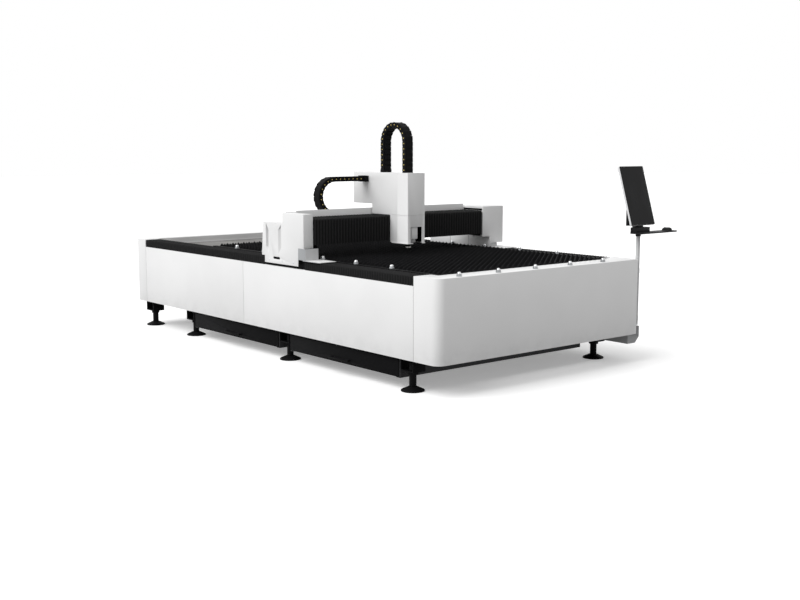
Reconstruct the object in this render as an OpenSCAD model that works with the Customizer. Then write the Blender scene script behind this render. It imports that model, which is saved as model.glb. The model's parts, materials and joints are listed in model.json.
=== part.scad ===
// Open flat-bed laser cutting machine for sheet metal.
// The bed lies along Y with its operator end at -Y; the gantry beam lies along X.

/* [Bed] */
// Width of the bed over its side panels
bed_w = 2250; // [2100:10:2500]
// Length of the bed over its end covers
bed_l = 4640; // [4500:10:5200]
// Height of the deck above the floor
deck_z = 880; // [860:5:960]
// Height of the lower edge of the panels
skirt_z = 250; // [220:5:300]
// Height of the bellows band above the side panels
band_h = 73; // [65:1:80]
// Width of the strip that covers each rail
strip_w = 190; // [180:1:200]
// Plan radius of the left rear corner
rear_corner_r = 30; // [26:1:60]
// Plan radius of the left front corner
corner_r = 75; // [60:5:110]
// Plan radius of the right corners
right_corner_r = 30; // [26:1:60]
// Thickness of the cover sheets
sheet_t = 3; // [2:0.5:4]
// Width of the folded lips behind the covers
lip_w = 25; // [22:1:30]
// Length of the side wraps of the front cover
front_wrap = 267; // [240:1:300]
// Length of the side wraps of the rear cover
rear_wrap = 190; // [170:1:220]
// Depth of the front ledge
front_ledge = 185; // [150:1:200]
// Depth of the rear ledge
rear_ledge = 140; // [120:1:160]
// Height of the front ledge's lip
front_drop = 60; // [30:1:80]
// Height of the rear ledge's lip
rear_drop = 52; // [30:1:80]
// Length of the front pair of side panels
front_panel_l = 2324; // [2000:1:2600]
// Width of the seams between panels
seam = 3; // [2:0.5:5]

/* [Frame] */
// Distance of the frame's ends from the bed's ends
frame_set = 110; // [110:1:125]
// Width of the side beams
side_beam_w = 150; // [145:1:160]
// Height of the top face of the side beams
side_beam_top = 760; // [740:1:765]
// Wall of the frame tubes
frame_wall = 8; // [6:1:12]
// Width of the cross beams
cross_w = 180; // [170:1:200]
// Height of the cross beams
cross_h = 120; // [100:1:150]

/* [Feet] */
// Distance of the feet from the panel faces
foot_inset = 100; // [90:1:105]
// Distance of the first feet from the front
foot_front = 389; // [360:1:420]
// Distance of the last feet from the rear
foot_rear = 172; // [160:1:200]
// Distance between the last two rows of feet
foot_last_l = 835; // [800:1:860]
// Length of a foot bracket along the bed
bracket_l = 150; // [120:1:160]
// Width of a foot bracket across the bed
bracket_w = 120; // [100:1:130]
// Height of a foot bracket
bracket_h = 100; // [80:1:120]
// Wall of a foot bracket
bracket_wall = 10; // [8:1:14]
// Diameter of the levelling stud
stud_d = 56; // [48:1:62]
// Width across the corners of the lock nut
nut_d = 84; // [74:1:90]
// Height of the lock nut
nut_h = 26; // [20:1:32]
// Diameter of the foot pad
pad_d = 180; // [150:1:200]
// Height of the flat rim of the foot pad
pad_rim_h = 10; // [8:1:14]
// Height of the foot pad
pad_h = 34; // [30:1:40]
// Diameter of the top of the foot pad
pad_neck_d = 76; // [68:1:80]
// Depth of the stud's seat in the pad
stud_seat = 18; // [14:1:20]

/* [Cutting table] */
// Length of the plain deck behind the slat table
rear_deck_l = 1130; // [1080:5:1200]
// Gap between the rail strip and the slat ends
slat_gap = 30; // [28:1:34]
// Spacing of the slats
slat_pitch = 50; // [45:1:120]
// Thickness of a slat
slat_t = 4; // [3:0.5:6]
// Height of a slat
slat_h = 110; // [100:1:120]
// Height of the tooth tips above the deck
slat_rise = 20; // [12:1:24]
// Spacing of the teeth on a slat
tooth_pitch = 60; // [40:1:80]
// Height of the teeth
tooth_h = 28; // [20:1:36]
// Thickness of the slotted comb bars
comb_t = 10; // [6:1:14]
// Height of a comb bar
comb_h = 135; // [120:1:150]
// Depth of the slots in a comb bar
comb_slot = 45; // [35:1:50]
// Clearance of a slat in its slot
slot_clear = 1; // [0.5:0.1:2]
// Thickness of the slag chutes
chute_t = 4; // [3:0.5:6]
// Distance that the chutes reach inwards
chute_reach = 260; // [200:5:320]
// Height of the chutes
chute_h = 300; // [250:5:310]
// Height of the rear deck above the side beams
rear_deck_h = 55; // [45:1:62]

/* [Ball transfer units] */
// Diameter of a ball
ball_d = 30; // [24:1:34]
// Diameter of a ball cup
cup_d = 38; // [36:1:42]
// Height of a ball cup
cup_h = 16; // [12:1:18]
// Height of a ball's centre above its seat
ball_rise = 19; // [17:1:21]
// Clearance of a ball in its cup
ball_clear = 0.4; // [0.2:0.1:0.8]
// Number of units on each side
side_ball_count = 6; // [3:1:8]
// Distance of the first side unit from the front
side_ball_y = 748; // [600:1:800]
// Distance of the last side unit from the table's end
side_ball_end = 402; // [350:1:450]
// Number of units on the front ledge
front_ball_count = 5; // [3:1:6]
// Spacing of the front units
front_ball_pitch = 398; // [300:1:420]
// Shift of the front row to the left
front_ball_shift = 80; // [0:1:120]
// Distance of the front units from the front face
front_ball_y = 50; // [40:1:80]
// Thickness of the bar under the side units
ball_bar_t = 5; // [4:1:6]
// Width of the bar under the side units
ball_bar_w = 42; // [42:1:46]

/* [Rails and racks] */
// Width of a bed rail
y_rail_w = 30; // [25:1:35]
// Height of a bed rail
y_rail_h = 26; // [22:1:28]
// Distance of a bed rail from the beam's inner edge
y_rail_inset = 50; // [50:1:54]
// Side of a bed rack
y_rack_w = 20; // [16:1:22]
// Gap left at the rail ends
rail_end_gap = 40; // [20:1:80]
// Radius of a bed pinion
y_pinion_r = 30; // [26:1:30]
// Height of a pinion
pinion_h = 16; // [12:1:18]
// Diameter of a pinion shaft
pinion_shaft_d = 24; // [20:1:26]
// Number of teeth on a bed pinion
pinion_teeth = 20; // [12:1:24]
// Running clearance
run_clear = 0.4; // [0.3:0.1:0.6]

/* [Bellows] */
// Spacing of the folds
fold_pitch = 30; // [24:1:40]
// Depth of a fold
fold_depth = 12; // [8:1:13]
// Gap between the bellows and the bed around them
band_gap = 3; // [2:0.5:4]
// Wall under the folds
fold_wall = 3; // [2:0.5:4]

/* [Gantry] */
// Distance of the beam's middle from the front, at rest
gantry_y = 1790; // [1600:5:2200]
// Width of the beam tube along the bed
beam_w = 180; // [170:1:190]
// Height of the beam tube
beam_h = 180; // [170:1:185]
// Height of the beam's lower face above the deck
beam_lift = 130; // [125:1:140]
// Depth of the cross bellows in front of the beam
bellows_front = 80; // [75:1:90]
// Height of the cross bellows above the beam
bellows_rise = 35; // [35:1:40]
// Width of the lower lip of the cross bellows
bellows_lip = 40; // [30:1:50]
// Gap around the sliding pieces
end_gap = 10; // [8:1:12]
// Thickness of a gantry foot's base
foot_base_t = 25; // [20:1:28]
// Length of a guide block
guide_l = 130; // [110:1:140]
// Width of a guide block
guide_w = 80; // [74:1:80]
// Height of a guide block above the rail
guide_cap = 19; // [16:1:20]
// Width of a drive motor
motor_w = 80; // [70:1:86]
// Width of a gearbox
gearbox_w = 90; // [80:1:92]
// Height of a gearbox
gearbox_h = 90; // [70:1:100]
// Height of a drive motor
motor_h = 200; // [150:1:220]
// Thickness of the left end cover along the beam
cover_w = 95; // [90:1:100]
// Width of the right end cover along the beam
right_cover_w = 262; // [240:1:280]
// Length of the tall part of the end covers
tall_l = 309; // [300:1:330]
// Height of the tall part above the deck
tall_h = 382; // [375:1:400]
// Length of the low part of the end covers
low_l = 295; // [285:1:310]
// Height of the low part above the deck
low_h = 295; // [285:1:305]
// Overhang of the end covers past the side panels
cover_over = 10; // [6:1:20]
// Height of the shield at the left foot
shield_h = 95; // [80:1:110]
// Depth of the shield along the bed
shield_l = 106; // [100:1:115]
// Width of the shield
shield_w = 130; // [120:1:140]
// Reach of the aprons over the bellows band
apron_l = 230; // [180:5:240]
// Thickness of the aprons
apron_t = 6; // [4:0.5:8]
// Height of a cross rail
x_rail_w = 22; // [20:1:26]
// Depth of a cross rail
x_rail_d = 20; // [18:1:22]
// Distance of the cross rails from the beam edges
x_rail_inset = 35; // [33:1:38]
// Side of the cross rack
x_rack_w = 18; // [16:1:18]
// Distance of the cross rack from the beam's front
x_rack_y = 30; // [25:1:35]
// Radius of the cross pinion
x_pinion_r = 22; // [20:1:24]
// Width of the chain tray behind the beam
chain_tray_w = 160; // [150:1:170]
// Height of the chain tray's front wall above the beam
chain_tray_front = 90; // [85:1:95]
// Height of the chain tray's floor above the beam
chain_tray_floor = 27; // [24:1:30]
// Height of the chain tray's rear wall
chain_tray_rear = 45; // [30:1:50]
// Depth that the chain tray's wall laps the beam
chain_tray_lap = 70; // [50:1:90]

/* [Carriage] */
// Shift of the carriage to the left at rest
carriage_shift = 141; // [100:1:180]
// Width of the carriage cover
carriage_w = 190; // [180:1:200]
// Thickness of the carriage plate
plate_t = 22; // [18:1:24]
// Depth from the bellows to the front of the head cover
head_depth = 236; // [220:1:250]
// Depth of the head cover
head_cover_l = 139; // [130:1:145]
// Height of the carriage cover above the deck
carriage_h = 708; // [700:1:740]
// Height of the carriage cover's lower edge above the deck
carriage_low = 114; // [112:1:118]
// Rear overhang of the carriage cover behind the beam
carriage_over = 257; // [250:1:270]
// Height of that overhang
carriage_over_h = 273; // [265:1:275]
// Width of the opening in the head cover
window_w = 120; // [110:1:130]
// Height of the opening in the head cover
window_h = 136; // [120:1:150]
// Thickness of the sill below the covers
sill_t = 8; // [6:0.5:10]
// Projection of the sill
sill_over = 4; // [2:0.5:6]
// Width of the sill's tongue across the opening
sill_lap = 25; // [20:1:30]

/* [Cutting head] */
// Distance of the nozzle tip above the deck at rest
nozzle_rise = 58; // [52:1:64]
// Height of the nozzle
nozzle_h = 20; // [16:1:24]
// Diameter of the nozzle's bore
nozzle_bore = 4; // [2:0.5:6]
// Width of the head's lower block
head_block_w = 90; // [84:1:94]
// Height of the head's lower block
head_block_h = 150; // [140:1:160]
// Diameter of the sensor below the block
sensor_d = 56; // [50:1:62]
// Height of the sensor
sensor_h = 34; // [28:1:40]
// Depth of the housing in front of the block
housing_l = 50; // [44:1:52]
// Width of that housing
housing_w = 67; // [60:1:72]
// Shift of that housing to the left
housing_shift = 10; // [6:1:14]
// Lift of that housing above the block's base
housing_rise = 36; // [30:1:42]
// Diameter of the focus barrel
barrel_d = 80; // [74:1:84]
// Height of the focus barrel
barrel_h = 170; // [150:1:180]
// Diameter of the collimator
collimator_d = 64; // [56:1:70]
// Height of the collimator
collimator_h = 80; // [70:1:90]
// Thickness of the head's slide plate
head_plate_t = 16; // [14:1:18]
// Gap between the carriage plate and the slide plate
z_gap = 40; // [40:1:46]
// Diameter of the lifting screw
screw_d = 16; // [14:1:18]
// Width of the lifting motor
z_motor_w = 36; // [32:1:36]

/* [Drag chains] */
// Spacing of the chain links
link_pitch = 45; // [40:1:50]
// Height of a chain link
link_h = 41; // [36:1:44]
// Width of a chain
link_w = 85; // [80:1:90]
// Thickness of a link's side plates
link_plate = 5; // [4:0.5:6]
// Width of the crossbars between the plates
link_bar = 18; // [14:1:20]
// Bend radius of the gantry and head chains
chain_r = 147; // [145:1:150]
// Bend radius of the bed chain
bed_chain_r = 115; // [110:1:118]
// Clearance between neighbouring links
link_clear = 0.5; // [0.3:0.1:0.8]
// Width of the cable trough beside the bed
trough_w = 150; // [140:1:160]
// Height of the cable trough's floor
trough_z = 148; // [146:1:170]
// Height of the cable trough
trough_h = 142; // [130:1:160]
// Chamfer of the trough's outer lower edge
trough_chamfer = 50; // [40:1:52]
// Distance of the trough's ends from the bed's ends
trough_end = 100; // [90:1:160]

/* [Slag drawers] */
// Height of a drawer
drawer_h = 135; // [110:1:145]
// Depth of a drawer across the bed
drawer_d = 1950; // [1800:10:2000]
// Distance of a drawer's face from the panel face
drawer_inset = 40; // [36:1:60]
// Thickness of the drawer runners
runner_t = 6; // [5:0.5:8]
// Width of a runner's flange
runner_w = 40; // [30:1:45]
// Drop of a runner's flange below the frame
runner_drop = 160; // [155:1:170]
// Side clearance of a drawer
drawer_clear = 3; // [2:0.5:5]
// Reach of a drawer handle in front of the drawer
handle_reach = 30; // [24:1:36]
// Length of a drawer handle
handle_l = 260; // [200:1:300]
// Diameter of a drawer handle
handle_d = 14; // [10:1:16]

/* [Console] */
// Diameter of the console pole
pole_d = 35; // [32:1:40]
// Distance of the pole from the front face
pole_y = 40; // [36:1:60]
// Height of the pole's top above the deck
pole_rise = 212; // [200:1:240]
// Height of the pole's lower end
pole_low = 320; // [310:1:400]
// Width of the tray
tray_w = 497; // [470:1:520]
// Depth of the tray
tray_l = 114; // [110:1:130]
// Thickness of the tray
tray_t = 12; // [8:1:16]
// Reach of the tray to the left of the pole
tray_left = 100; // [95:1:120]
// Reach of the tray in front of the pole
tray_front = 103; // [95:1:110]
// Width of the monitor
monitor_w = 310; // [290:1:320]
// Height of the monitor
monitor_h = 505; // [470:1:520]
// Thickness of the monitor
monitor_t = 18; // [16:1:24]
// Backward tilt of the monitor
monitor_tilt = 17; // [12:1:20]
// Width of the bezel around the screen
bezel = 6; // [5:1:14]
// Height of the stand block below the monitor
stand_h = 40; // [36:1:44]
// Height of the tilt hinge on the monitor
tilt_rise = 100; // [90:1:120]
// Distance of the tilt hinge behind the monitor
tilt_back = 14; // [13:1:16]
// Radius of the tilt hinge's barrel
tilt_r = 9; // [8:1:10]
// Diameter of the tilt pin
tilt_pin_d = 8; // [6:1:9]

/* [Gantry feet and covers] */
// Setback of a gantry foot's nose behind the bellows face
foot_nose = 30; // [26:1:34]
// Height of the nose above the foot's base
foot_nose_h = 70; // [60:1:80]
// Reach of a gantry foot behind the beam
foot_tail = 370; // [364:1:380]
// Height of the foot's upturned tail
foot_tail_h = 42; // [36:1:48]
// Thickness of the foot's upturned tail
foot_tail_t = 10; // [8:1:12]
// Length of the gusset behind the column
foot_heel = 80; // [60:1:100]
// Length of the guard inside the right foot
guard_l = 850; // [800:5:880]
// Reach of that guard in front of the end cover
guard_lead = 16; // [12:1:20]
// Distance of the drive motors behind the beam
motor_back = 220; // [214:1:226]
// Drop of the cross bellows below the beam
bellows_drop = 5; // [4:1:6]
// Setback of the end covers behind the bellows face
cover_setback = 15; // [12:1:20]
// Gap between a foot's base and its cover
cover_gap = 1; // [0.5:0.5:3]
// Length of the notch at the covers' lower front
cover_foot_l = 81; // [76:1:88]
// Outward slope of the covers' rear edge
cover_flare = 22; // [15:1:30]
// Length of the notch at the covers' lower rear
cover_notch_l = 45; // [40:1:50]
// Height of the notch at the covers' lower rear
cover_notch_h = 60; // [55:1:70]
// Height of the right cover's front above the deck
right_cover_lift = 40; // [38:1:50]
// Depth of the scoops in the left cover
recess_depth = 22; // [18:1:25]
// Slant of the scoops' ends
recess_slope = 50; // [40:1:60]
// Width of a scoop
recess_bevel = 42; // [30:1:60]
// Margin around the scoops
recess_margin = 22; // [16:1:28]
// Height of the scoops above the deck
recess_lift = 36; // [32:1:44]
// Length of the slot below the scoops
vent_w = 100; // [90:1:120]
// Height of that slot
vent_h = 20; // [16:1:24]
// Distance of the slot from the tall part
vent_back = 42; // [36:1:60]
// Drop of the slot below the deck
vent_drop = 12; // [10:1:20]

/* [Carriage details] */
// Height of the carriage's top plate above the beam
plate_top_rise = 54; // [52:1:58]
// Thickness of the top plate
plate_top_t = 12; // [10:1:16]
// Length of the top plate
plate_top_l = 240; // [230:1:244]
// Height of the lifting motor's mount above the deck
mount_rise = 560; // [556:1:565]
// Thickness of that mount
mount_t = 10; // [8:1:12]
// Length of a cross guide block
x_guide_l = 70; // [60:1:74]
// Gap between two cross guide blocks
x_guide_gap = 20; // [16:1:24]
// Height of a cross guide block
x_guide_h = 50; // [44:1:54]
// Width of the cross gearbox
x_gearbox_w = 70; // [60:1:76]
// Height of the cross gearbox
x_gearbox_h = 50; // [40:1:60]
// Width of the cross motor
x_motor_w = 60; // [50:1:66]
// Height of the cross motor
x_motor_h = 130; // [110:1:150]
// Height of the lifting motor
z_motor_h = 110; // [90:1:120]

/* [Lifting slide] */
// Distance of the head's axis behind the cover's front
head_back = 106; // [102:1:108]
// Width of a lifting rail
z_rail_w = 15; // [12:1:18]
// Depth of a lifting rail
z_rail_d = 12; // [10:1:14]
// Distance of the lifting rails from the screw
z_rail_x = 50; // [48:1:54]
// Diameter of the fiber connector
connector_d = 30; // [24:1:36]
// Height of the fiber connector
connector_h = 40; // [30:1:50]
// Width of the slide plate
slide_w = 140; // [136:1:150]
// Height of the slide plate above the deck
slide_rise = 200; // [190:1:210]
// Height of the slide plate
slide_h = 320; // [310:1:326]
// Distance of the guide blocks from the plate's edge
slide_margin = 15; // [10:1:20]
// Width of a lifting guide block
slide_block_w = 34; // [30:1:38]
// Height of a lifting guide block
slide_block_h = 60; // [50:1:70]
// Width of the screw's nut
screw_nut_w = 36; // [32:1:40]
// Height of the screw's nut
screw_nut_h = 40; // [34:1:50]
// Drop of the chain shelf below the cover's top
shelf_drop = 88; // [86:1:95]
// Thickness of the chain shelf
shelf_t = 10; // [8:1:12]
// Width of the chain shelf
shelf_w = 80; // [70:1:84]

/* [Chain ends] */
// Length of the carriage's chain block
chain_stub = 20; // [16:1:30]
// Place of the gantry chain's fixed end along the beam
x_chain_fix = 88; // [60:1:120]
// Links in the gantry chain
x_chain_count = 33; // [32:1:35]
// Head chain's middle behind the bellows face
z_chain_back = 26; // [24:1:28]
// Links in the head chain
z_chain_count = 23; // [21:1:24]
// Bed chain's moving end behind the beam's middle
y_chain_lead = 160; // [150:1:180]
// Bed chain's fixed end behind the beam's middle
y_chain_lag = 560; // [520:1:600]
// Links in the bed chain
y_chain_count = 44; // [43:1:46]
// Gap between the bed chain and the trough's wall
trough_gap = 5; // [4:1:6]
// Thickness of the arm that pulls the bed chain
arm_t = 12; // [10:1:14]
// Gap between that arm and the end cover
arm_gap = 10; // [8:1:12]
// Length of the arm's foot on the chain
arm_l = 90; // [70:1:100]
// Height of the arm's pad above the deck
arm_pad_lift = 20; // [15:1:30]
// Height of the arm's pad
arm_pad_h = 60; // [50:1:70]
// Width of an arm under the trough
trough_arm_w = 60; // [50:1:70]
// Thickness of an arm under the trough
trough_arm_t = 8; // [6:1:8]

/* [Console details] */
// Gap between the pole and the bed
pole_gap = 7; // [4:1:9]
// Width of a pole clamp
clamp_w = 50; // [44:1:56]
// Height of a pole clamp
clamp_h = 40; // [30:1:50]
// Diameter of the tray's hub
hub_d = 44; // [42:1:50]
// Height of the tray's hub
hub_h = 24; // [20:1:30]
// Corner radius of the tray
tray_r = 12; // [8:1:20]
// Width of the stand block
stand_w = 180; // [170:1:190]
// Depth of the stand block
stand_l = 60; // [54:1:64]
// Reach of the stand block in front of the pole
stand_set = 19; // [17:1:22]
// Width of the stand's upright
upright_w = 120; // [100:1:130]
// Thickness of the stand's upright
upright_t = 20; // [16:1:22]
// Reach of the monitor's foot in front of the pole
monitor_set = 52; // [48:1:56]
// Height of the monitor above the stand block
monitor_lift = 20; // [18:1:24]
// Corner radius of the monitor
monitor_r = 10; // [6:1:14]
// Depth of the screen's recess
screen_t = 4; // [3:0.5:6]
// Thickness of the monitor's hinge ears
ear_t = 9; // [6:1:12]
// Width of the mouse
mouse_w = 58; // [54:1:64]
// Length of the mouse
mouse_l = 104; // [96:1:110]
// Height of the mouse
mouse_h = 34; // [28:1:40]
// Radius of the mouse's back
mouse_round = 92; // [86:1:110]
// Distance of the mouse from the tray's right edge
mouse_right = 70; // [60:1:80]
// Distance of the mouse from the tray's front edge
mouse_front = 57; // [54:1:60]

/* [Hidden] */
$fn = 48;

// Overrun of every cut, and the gap between a soft part and its seat
over = 5;
seat = 0.3;

// Colours of the finishes
white_paint = [0.92, 0.92, 0.92];
grey_paint = [0.62, 0.63, 0.64];
black_paint = [0.09, 0.09, 0.1];
bellows_black = [0.06, 0.06, 0.07];
chain_black = [0.08, 0.08, 0.08];
steel = [0.72, 0.73, 0.75];
dark_steel = [0.3, 0.3, 0.32];
screen_black = [0.05, 0.05, 0.06];
nozzle_metal = [0.75, 0.74, 0.72];

// Bed
half_w = bed_w / 2;
band_z = deck_z - band_h;
strip_in = half_w - strip_w;
beam_out = half_w - lip_w;
beam_in = beam_out - side_beam_w;
frame_end = max(frame_set, corner_r, rear_corner_r, right_corner_r);
foot_end = bed_l - foot_rear;
foot_pitch = (foot_end - foot_last_l - foot_front) / 2;
foot_rows = [foot_front, foot_front + foot_pitch, foot_front + 2 * foot_pitch, foot_end];
cross_rows = [for (i = [0:2]) foot_rows[i]];
foot_x = half_w - foot_inset;
bracket_z = skirt_z - bracket_h;
stud_top = skirt_z - bracket_wall - bracket_h / 4;

// Slat table
table_end = bed_l - frame_end - rear_deck_l;
slat_half = strip_in - slat_gap;
slat_top = deck_z + slat_rise;
slat_low = slat_top - slat_h;
comb_top = slat_low + comb_slot;
comb_low = comb_top - comb_h;
slat_run = table_end - front_ledge;
slat_count = floor(slat_run / slat_pitch);
slat_first = front_ledge + (slat_run - (slat_count - 1) * slat_pitch) / 2;
slat_rows = [for (i = [0:slat_count - 1]) slat_first + i * slat_pitch];
tooth_count = floor(2 * slat_half / tooth_pitch);
tooth_step = 2 * slat_half / tooth_count;
chute_top = comb_low - comb_t;
chute_v = 2 * chute_t;

// Ball units
ball_x = beam_in + ball_bar_t - ball_bar_w / 2;
side_ball_pitch = (table_end - side_ball_y - side_ball_end) / (side_ball_count - 1);
side_ball_rows = [for (i = [0:side_ball_count - 1]) side_ball_y + i * side_ball_pitch];
front_ball_x = [for (i = [0:front_ball_count - 1])
  (i - (front_ball_count - 1) / 2) * front_ball_pitch - front_ball_shift];

// Rails and racks on the side beams
y_rail_x = beam_in + y_rail_inset;
y_rail_top = side_beam_top + y_rail_h;
y_rack_x = beam_out - y_rack_w;
y_pinion_x = y_rack_x - run_clear - y_pinion_r;
rail_start = frame_end + rail_end_gap;
rail_stop = bed_l - frame_end - rail_end_gap;
guide_z = side_beam_top + y_rail_h / 2;
guide_top = y_rail_top + guide_cap;
foot_base_z = guide_top + foot_base_t;

// Bellows on the bed
band_top = deck_z - band_gap;
band_low = band_z + seat;
band_out = half_w - seat;
band_in = beam_in + ball_bar_t + band_gap;

// Gantry along the bed
beam_front = gantry_y - beam_w / 2;
beam_rear = gantry_y + beam_w / 2;
beam_z = deck_z + beam_lift;
beam_top = beam_z + beam_h;
bellows_y = beam_front - bellows_front;
bellows_low = beam_z - bellows_drop;
bellows_top = beam_top + bellows_rise;
foot_nose_y = bellows_y + foot_nose;
foot_tail_y = beam_rear + foot_tail;
foot_in = beam_in + 4 * band_gap;
foot_out = beam_out - end_gap / 2;
guide_front = gantry_y - guide_l / 2 - foot_tail_t;
guide_rear = gantry_y + guide_l / 2 + foot_tail_h;
motor_y = beam_rear + motor_back;

// End covers of the gantry
cover_out = half_w + cover_over;
cover_in = cover_out - cover_w;
right_cover_in = cover_out - right_cover_w;
cover_front = bellows_y + cover_setback;
cover_mid = cover_front + tall_l;
cover_rear = cover_mid + low_l;
cover_low = foot_base_z + cover_gap;
cover_foot = cover_front + cover_foot_l;
cover_nose_z = deck_z + apron_t + shield_h;
cover_top = deck_z + tall_h;
low_top = deck_z + low_h;
right_cover_low = deck_z + right_cover_lift;
shield_front = cover_foot - shield_l;
guard_front = bellows_y - sheet_t - guard_lead;

// Scoops and slot in the left end cover
recess_low = deck_z + recess_lift;
recess_top = low_top - recess_margin / 2;
vent_z = deck_z - vent_drop;

// Cross rails, rack and chain tray
x_rail_z = [beam_z + x_rail_inset, beam_top - x_rail_inset];
x_rail_front = beam_front - x_rail_d;
x_rail_l = -cover_in + end_gap;
x_rail_r = right_cover_in - end_gap;
rack_front = beam_front + x_rack_y;
x_pinion_y = rack_front + x_rack_w + run_clear + x_pinion_r;
chain_floor_z = beam_top + chain_tray_floor;
tray_rear = beam_rear + chain_tray_w;
tray_l_end = -cover_in + band_gap;
tray_r_end = right_cover_in - band_gap;

// Carriage
car_x = -carriage_shift;
car_l = car_x - carriage_w / 2;
car_r = car_x + carriage_w / 2;
plate_side = 2 * sheet_t;
plate_front = bellows_y - plate_t;
plate_low = deck_z + carriage_low + plate_side;
plate_top_z = beam_top + plate_top_rise;
mount_z = deck_z + mount_rise;
cover_z = deck_z + carriage_low;
car_top = deck_z + carriage_h;
car_step_z = bellows_top + band_gap;
car_step_y = beam_rear - end_gap;
car_over_z = car_top - carriage_over_h;
car_rear = beam_rear + carriage_over;
head_front = bellows_y - head_depth;
head_seam = head_front + head_cover_l;

// Lifting axis and head
head_rear_y = plate_front - z_gap;
head_front_y = head_rear_y - head_plate_t;
head_y = head_front + head_back;
z_rail_low = plate_low + end_gap;
screw_y = plate_front - z_gap / 2;
nozzle_z = deck_z + nozzle_rise;
sensor_z = nozzle_z + nozzle_h;
block_z = sensor_z + sensor_h;
barrel_z = block_z + head_block_h;
collimator_z = barrel_z + barrel_h;
slide_low = deck_z + slide_rise;
slide_top = slide_low + slide_h;
chain_shelf_z = car_top - shelf_drop;

// Drag chains
chain_y = beam_rear + chain_tray_w / 2;
chain_low_z = chain_floor_z + seat + link_h / 2;
x_chain_end = car_l - chain_stub - seat - link_h / 2;
x_chain_bend = (x_chain_fix + x_chain_end + PI * chain_r - x_chain_count * link_pitch) / 2;
z_chain_y = bellows_y + z_chain_back;
z_chain_fix = car_top + seat + link_h / 2;
z_chain_end = chain_shelf_z + seat + link_h / 2;
z_chain_bend = (z_chain_count * link_pitch - PI * chain_r + z_chain_fix + z_chain_end) / 2;
y_chain_x = half_w + sheet_t + trough_gap + link_w / 2;
y_chain_z = trough_z + sheet_t + seat + link_h / 2;
y_chain_end = gantry_y + y_chain_lead;
y_chain_fix = gantry_y + y_chain_lag;
y_chain_bend = (y_chain_fix + y_chain_end + PI * bed_chain_r - y_chain_count * link_pitch) / 2;
arm_low = y_chain_z + 2 * bed_chain_r + link_h / 2 + seat;
arm_pad_z = deck_z + arm_pad_lift;
trough_arm_share = 0.4;
trough_arm_rows = [for (i = [0:2]) (i + trough_arm_share) * foot_pitch + foot_front - bracket_l];

// Slag drawers
drawer_face = half_w - drawer_inset;
runner_low = skirt_z - runner_drop;
drawer_z = runner_low + runner_t + seat;
runner_start = drawer_face - 2 * sheet_t;
handle_share = 0.27;

// Console
pole_x = half_w + pole_d / 2 + pole_gap;
pole_top = deck_z + pole_rise;
clamp_z = [pole_low + clamp_h, deck_z - 3 * clamp_h];
tray_z = pole_top + seat;
tray_top = tray_z + tray_t;
tray_x = pole_x - tray_left;
tray_y = pole_y - tray_front;
stand_top = tray_top + stand_h;
monitor_y = pole_y - monitor_set;
monitor_z = stand_top + monitor_lift;
tilt_local = [tilt_rise, monitor_t + tilt_back];
tilt_y = monitor_y + tilt_local.x * sin(monitor_tilt) + tilt_local.y * cos(monitor_tilt);
tilt_z = monitor_z + tilt_local.x * cos(monitor_tilt) - tilt_local.y * sin(monitor_tilt);

// The origin lies on the floor, below the middle of the whole machine
mid_x = (tray_x + tray_w - cover_out) / 2;
mid_y = (tray_y + bed_l) / 2;

// Places a piece of the bed's frame in the frame of the whole machine
module placed() { translate([-mid_x, -mid_y, 0]) children(); }

// A block between two corners
module block(lo, hi) { translate(lo) cube(hi - lo); }

// A piece and its mirror image on the other side of the bed
module both_sides() {
  children();
  mirror([1, 0, 0]) children();
}

// Extrusions of outlines drawn across each axis: (y, z) along X, (x, z) along Y
module along_x(from, to) {
  translate([from, 0, 0]) rotate([90, 0, 90]) linear_extrude(to - from) children();
}

module along_y(from, to) { translate([0, to, 0]) rotate([90, 0, 0]) linear_extrude(to - from) children(); }

module along_z(from, to) { translate([0, 0, from]) linear_extrude(to - from) children(); }

// A rectangle between two corners
module rect(lo, hi) { translate(lo) square(hi - lo); }

// A rectangle with round corners between two corners
module round_rect(lo, hi, r) {
  rect([lo.x + r, lo.y], [hi.x - r, hi.y]);
  rect([lo.x, lo.y + r], [hi.x, hi.y - r]);
  for (x = [lo.x + r, hi.x - r])
    for (y = [lo.y + r, hi.y - r])
      translate([x, y]) circle(r);
}

// A square tube along one direction, with open ends
module tube_x(lo, hi, wall) {
  difference() {
    block(lo, hi);
    block(lo + [-over, wall, wall], hi + [over, -wall, -wall]);
  }
}

module tube_y(lo, hi, wall) {
  difference() {
    block(lo, hi);
    block(lo + [wall, -over, wall], hi + [-wall, over, -wall]);
  }
}

// Fold line from a to b, with ridges between the valleys
function fold_count(a, b) = max(2, round((b - a) / fold_pitch));

function fold_line(a, b, ridge, valley) = [
  for (n = fold_count(a, b), i = [0:2 * n])
    [a + (b - a) * i / (2 * n), i % 2 == 0 ? valley : ridge]
];

function swapped(points) = [for (p = points) [p.y, p.x]];

// The part of a plan's left front corner outside its rounding
module corner_cut(r, inset) {
  difference() {
    rect([-half_w - over, -over], [r - half_w, r]);
    translate([r - half_w, r]) circle(max(r - inset, seat));
  }
}

// Plan of an end cover, drawn in from its outer face
module end_plan(wrap, inset, r) {
  difference() {
    rect([inset - half_w, inset], [half_w - inset, wrap]);
    corner_cut(r, inset);
    mirror([1, 0]) corner_cut(right_corner_r, inset);
  }
}

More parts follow.
